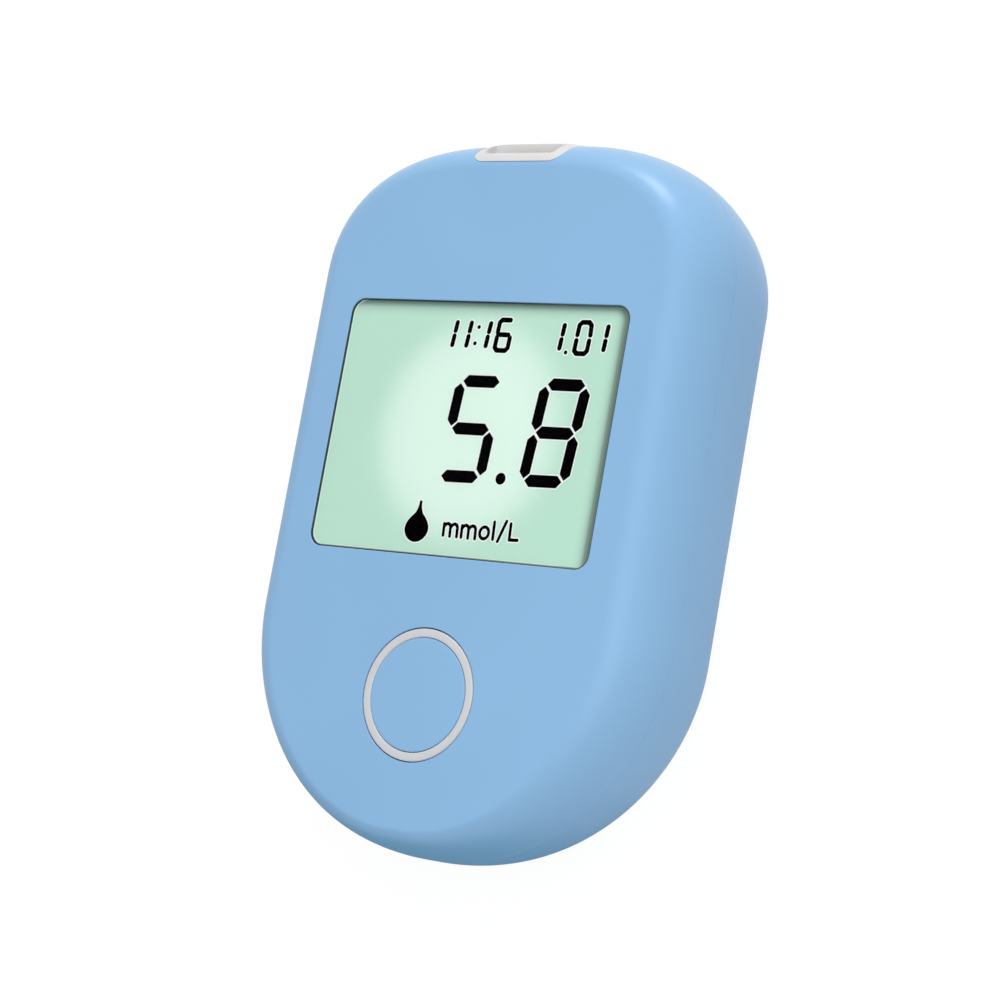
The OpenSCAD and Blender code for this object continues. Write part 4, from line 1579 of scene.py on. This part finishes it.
class METER_OT_rear_label(MeterOperator):
    """Builds the bare label in the back"""

    bl_idname = "meter.rear_label"
    bl_label = "Rear label"

    def execute(self, context):
        (back,) = self.sizes(context, "back")
        half, corner, centre = LABEL_HALF, back.label_corner, LABEL_MIDDLE[:2]
        rings = [
            rounded_rect(half.x - inset, half.y - inset, corner, centre, z)
            for inset, z in ((0.05, LABEL_LOW.z), (0.0, LABEL_LOW.z + 0.03), (0.0, LABEL_HIGH.z))
        ]
        piece("label_sheet", loft(rings), "case", label_paper(back), ["rear_label"])
        return {"FINISHED"}


class METER_OT_window(MeterOperator):
    """Builds the clear lens and the dark bead round it"""

    bl_idname = "meter.window"
    bl_label = "Window"

    def execute(self, context):
        case, window = self.sizes(context, "case", "window")
        piece("clear_window", lens_solid(case, window), "case", clear_lens(), ["window_lens"])
        piece("window_seal", seal_solid(case, window), "case", dark_seal())
        return {"FINISHED"}


class METER_OT_display(MeterOperator):
    """Builds the display's field and its characters"""

    bl_idname = "meter.display"
    bl_label = "Display"

    def execute(self, context):
        case, window = self.sizes(context, "case", "window")
        piece("display_image", image_solid(case, window), "case", display_field(window))
        top = case.thickness - window.image_depth
        shift = [slope * (DRAWN_DEPTH - window.image_depth) for slope in SIGHT_SLOPE]
        layers = (
            ("character_edges", HALO, window.ink_step / 2, "light_edge", window.halo),
            ("characters", 0.0, window.ink_step, "dark_ink", window.ink),
        )
        for name, grow, step, print_name, tint in layers:
            mesh = print_layer(grow, shift, top, top + step)
            piece(name, mesh, "case", printed(print_name, tint), smooth=False)
        return {"FINISHED"}


class METER_OT_button(MeterOperator):
    """Builds the button cap and its pale ring"""

    bl_idname = "meter.button"
    bl_label = "Button"

    def execute(self, context):
        case, button = self.sizes(context, "case", "button")
        ring_finish = moulded_plastic("ring_plastic", button.ring, 0.3, 0.2, 0.0008, gloss=0.5)
        cap, ring = cap_solid(case, button), ring_solid(case, button)
        piece("cap_moulding", cap, "button", case_material(case), ["button_cap"])
        piece("pale_ring", ring, "button", ring_finish, ["button_ring"])
        return {"FINISHED"}


class METER_OT_strip_port(MeterOperator):
    """Builds the white frame of the strip port"""

    bl_idname = "meter.strip_port"
    bl_label = "Strip port"

    def execute(self, context):
        case, port = self.sizes(context, "case", "port")
        mesh, finish = port_solid(case, port), port_plastic(port)
        made = piece("port_moulding", mesh, "case", finish, ["port_frame"])
        edge = made.modifiers.new("soft_edges", "BEVEL")
        edge.width = port.edge_round * MM
        edge.segments = 3
        edge.limit_method = "ANGLE"
        edge.angle_limit = math.radians(50)
        # the normals are evened after the edges are rounded
        made.modifiers.move(1, 0)
        return {"FINISHED"}


class METER_OT_cells(MeterOperator):
    """Builds the two cells and the springs that press on them"""

    bl_idname = "meter.cells"
    bl_label = "Cells and springs"

    def execute(self, context):
        (inside,) = self.sizes(context, "inside")
        steel = bright_metal("spring_steel", linear(196, 198, 202), 0.26)
        upper_plate, lower_plate = BAY.high - 0.4, BAY.low + 0.4
        rows = (
            ("left", -CELL_X, upper_plate, lower_plate, "lower_spring"),
            ("right", CELL_X, lower_plate, upper_plate, "upper_spring"),
        )
        for side, x, raised_end, seat, spring in rows:
            along = 1 if raised_end > seat else -1
            jacket = cell_wrap(side + "_jacket", inside, raised_end, along)
            cell, coil = cell_solid(raised_end, along, x), spring_solid(x, seat, along)
            piece(side + "_cell_body", cell, "case", jacket, [side + "_cell"])
            piece(spring + "_coil", coil, "case", steel, [spring])
        return {"FINISHED"}


class METER_OT_display_stack(MeterOperator):
    """Gives the layers behind the window their finishes"""

    bl_idname = "meter.display_stack"
    bl_label = "Display layers"

    def execute(self, context):
        (inside,) = self.sizes(context, "inside")
        give(foam("black_foam"), "lens_gasket")
        give(glass_film("front_film", linear(150, 176, 162), 0.75, 0.3), "front_polariser")
        give(glass_film("rear_film", linear(148, 156, 152), 0.8, 0.35), "rear_polariser")
        glass = glass_film("display_glass", linear(206, 226, 216), 0.3, 0.04)
        give(glass, "lcd_front_glass", "lcd_rear_glass")
        give(moulded_plastic("tray_plastic", linear(228, 226, 222), 0.5, 0.3, 0.002), "lcd_frame")
        give(frosted_guide(), "light_guide")
        give(lamp_body(), "backlight_leds")
        give(contact_rubber(inside), "contact_strip")
        return {"FINISHED"}


class METER_OT_board(MeterOperator):
    """Gives the board and the parts on it their finishes"""

    bl_idname = "meter.board"
    bl_label = "Board"

    def execute(self, context):
        (inside,) = self.sizes(context, "inside")
        give(board_laminate(inside), "main_board")
        for chip, dimple_in in (("microcontroller", 0.9), ("measuring_chip", 0.8), ("memory_chip", 0.8)):
            give(chip_finish(chip, inside, dimple_in), chip)
        give(bright_metal("can_steel", linear(200, 202, 206), 0.3, (1, 6, 1)), "crystal")
        give(moulded_plastic("buzzer_shell", linear(38, 38, 40), 0.5, 0.2, 0.002), "buzzer")
        capacitors = end_capped("capacitor_body", linear(176, 140, 96), axis=0, middle=-14, pitch=3.0)
        give(capacitors, "board_capacitors")
        # one row only, so the pitch is longer than the board
        resistors = end_capped("resistor_body", linear(36, 36, 38), axis=1, middle=16, pitch=2 * FAR)
        give(resistors, "board_resistors")
        give(moulded_plastic("plunger_plastic", linear(46, 46, 48), 0.45, 0.2, 0.002), "switch_plunger")
        give(moulded_plastic("connector_plastic", linear(226, 222, 212), 0.5, 0.25, 0.002), "strip_connector")
        return {"FINISHED"}


class METER_OT_metal(MeterOperator):
    """Gives the contacts, switch and screws their finishes"""

    bl_idname = "meter.metal"
    bl_label = "Metal parts"

    def execute(self, context):
        plated = bright_metal("nickel_plate", linear(198, 196, 188), 0.24, (1, 1, 5))
        give(plated, "upper_contacts", "bridge_contact", "switch_body")
        zinc = bright_metal("zinc_steel", linear(186, 190, 196), 0.32, (1, 1, 3))
        give(zinc, "case_screws", "board_screws")
        give(bright_metal("gold_plate", linear(232, 190, 110), 0.22, (5, 1, 1)), "strip_contacts")
        return {"FINISHED"}


def seen_as_backdrop(recipe):
    """1 for rays that show the backdrop: to the camera, or by way of metal and glass."""
    path = recipe.node("ShaderNodeLightPath", output="Is Camera Ray")
    return path.at_least(path.other("Is Glossy Ray")).at_least(path.other("Is Transmission Ray"))


def floor_finish(stage):
    """Pale matt paper that the camera sees nearly white."""
    recipe = Recipe("studio_floor")
    mottle = recipe.noise(recipe.place(), 0.02, 3.0)
    tone = recipe.mix(0.5 + mottle, tinted(stage.floor, 0.99), tinted(stage.floor, 1.01))
    paper = recipe.principled(base_color=tone, roughness=0.9, specular_ior_level=0.1)
    glow = recipe.node("ShaderNodeEmission", {}, {"Color": (1, 1, 1, 1), "Strength": 1.10})
    factor = seen_as_backdrop(recipe) * stage.floor_light
    return recipe.finish(recipe.node("ShaderNodeMixShader", {}, {0: factor, 1: paper, 2: glow}))


def add_floor(scene, stage):
    """Wide sheet just below the meter's back."""
    sheet = loft([rounded_rect(1500, 1500, 200, (0, 0), z) for z in (-20, -0.05)])
    sheet.name = "studio_floor"
    sheet.transform(Matrix.Scale(MM, 4))
    sheet.materials.append(floor_finish(stage))
    floor = bpy.data.objects.new("studio_floor", sheet)
    scene.collection.objects.link(floor)


def add_sky(scene, stage):
    """Light from all round, a little stronger towards the port end, shown as plain white."""
    recipe = Recipe("studio_light", "worlds")
    shown = seen_as_backdrop(recipe)
    way = recipe.node("ShaderNodeTexCoord", output="Generated")
    toward_right, toward_port, _ = recipe.axes(way)
    lit = stage.sky * (1.0 + 0.15 * toward_port + 0.03 * toward_right)
    strength = lit + shown * (1.0 - lit)
    light = recipe.node("ShaderNodeBackground", {}, {"Color": (1, 1, 1, 1), "Strength": strength})
    scene.world = recipe.finish(light, "ShaderNodeOutputWorld")


def add_lamp(scene, name, place, power):
    """Round soft lamp that looks at the middle of the meter, with its place in metres."""
    light = bpy.data.lights.new(name, "AREA")
    light.shape = "DISK"
    light.size = 0.30
    light.energy = power
    lamp = bpy.data.objects.new(name, light)
    lamp.location = place
    toward_meter = Vector((0.0, 0.0, 0.012)) - Vector(place)
    lamp.rotation_euler = toward_meter.to_track_quat("-Z", "Y").to_euler()
    scene.collection.objects.link(lamp)


def add_camera(scene, stage):
    """Camera over the meter's right side, near its round end."""
    settings = bpy.data.cameras.new("camera")
    settings.lens = stage.lens
    settings.sensor_width = 36.0
    settings.clip_start = 0.01
    settings.clip_end = 10.0
    camera = bpy.data.objects.new("camera", settings)
    right = Vector((0.812276, 0.174184, -0.556657))
    up = Vector((-0.064935, 0.975441, 0.210473))
    away = Vector((0.579647, -0.134816, 0.803638))
    turn = Matrix((right, up, away)).transposed().to_4x4()
    camera.matrix_world = Matrix.Translation((0.205275, -0.047549, 0.295223)) @ turn
    scene.collection.objects.link(camera)
    scene.camera = camera


class METER_OT_stage(MeterOperator):
    """Builds the floor, the lamps, the light all round and the camera"""

    bl_idname = "meter.stage"
    bl_label = "Stage"

    def execute(self, context):
        (stage,) = self.sizes(context, "stage")
        scene = context.scene
        scene.view_settings.view_transform = "Standard"
        add_floor(scene, stage)
        add_sky(scene, stage)
        add_lamp(scene, "end_lamp", (0.03, 0.656, 0.253), stage.end)
        add_lamp(scene, "side_lamp", (0.201, -0.05, 0.295), stage.side)
        add_camera(scene, stage)
        return {"FINISHED"}


OPERATORS = (
    METER_OT_stage,
    METER_OT_front_cover,
    METER_OT_rear_cover,
    METER_OT_battery_door,
    METER_OT_rear_label,
    METER_OT_window,
    METER_OT_display,
    METER_OT_button,
    METER_OT_strip_port,
    METER_OT_cells,
    METER_OT_display_stack,
    METER_OT_board,
    METER_OT_metal,
)
GROUPS = {
    "case": MeterCase,
    "window": MeterWindow,
    "button": MeterButton,
    "port": MeterPort,
    "back": MeterBack,
    "inside": MeterInside,
    "stage": MeterStage,
}


class VIEW3D_PT_glucose_meter(bpy.types.Panel):
    """Lists the meter's pieces and their sizes"""

    bl_label = "Glucose meter"
    bl_space_type = "VIEW_3D"
    bl_region_type = "UI"
    bl_category = "Glucose meter"

    def draw(self, context):
        for name, group in GROUPS.items():
            box = self.layout.box()
            box.label(text=group.__doc__)
            settings = getattr(context.scene, "meter_" + name)
            for key in group.__annotations__:
                box.prop(settings, key)
        for operator in OPERATORS:
            self.layout.operator(operator.bl_idname)


def register():
    for cls in (*GROUPS.values(), *OPERATORS, VIEW3D_PT_glucose_meter):
        bpy.utils.register_class(cls)
    for name, group in GROUPS.items():
        setattr(bpy.types.Scene, "meter_" + name, bpy.props.PointerProperty(type=group))


def unregister():
    for name in GROUPS:
        delattr(bpy.types.Scene, "meter_" + name)
    for cls in reversed((*GROUPS.values(), *OPERATORS, VIEW3D_PT_glucose_meter)):
        bpy.utils.unregister_class(cls)


def main():
    register()
    for operator in OPERATORS:
        category, name = operator.bl_idname.split(".")
        getattr(getattr(bpy.ops, category), name)()


if __name__ == "__main__":
    main()
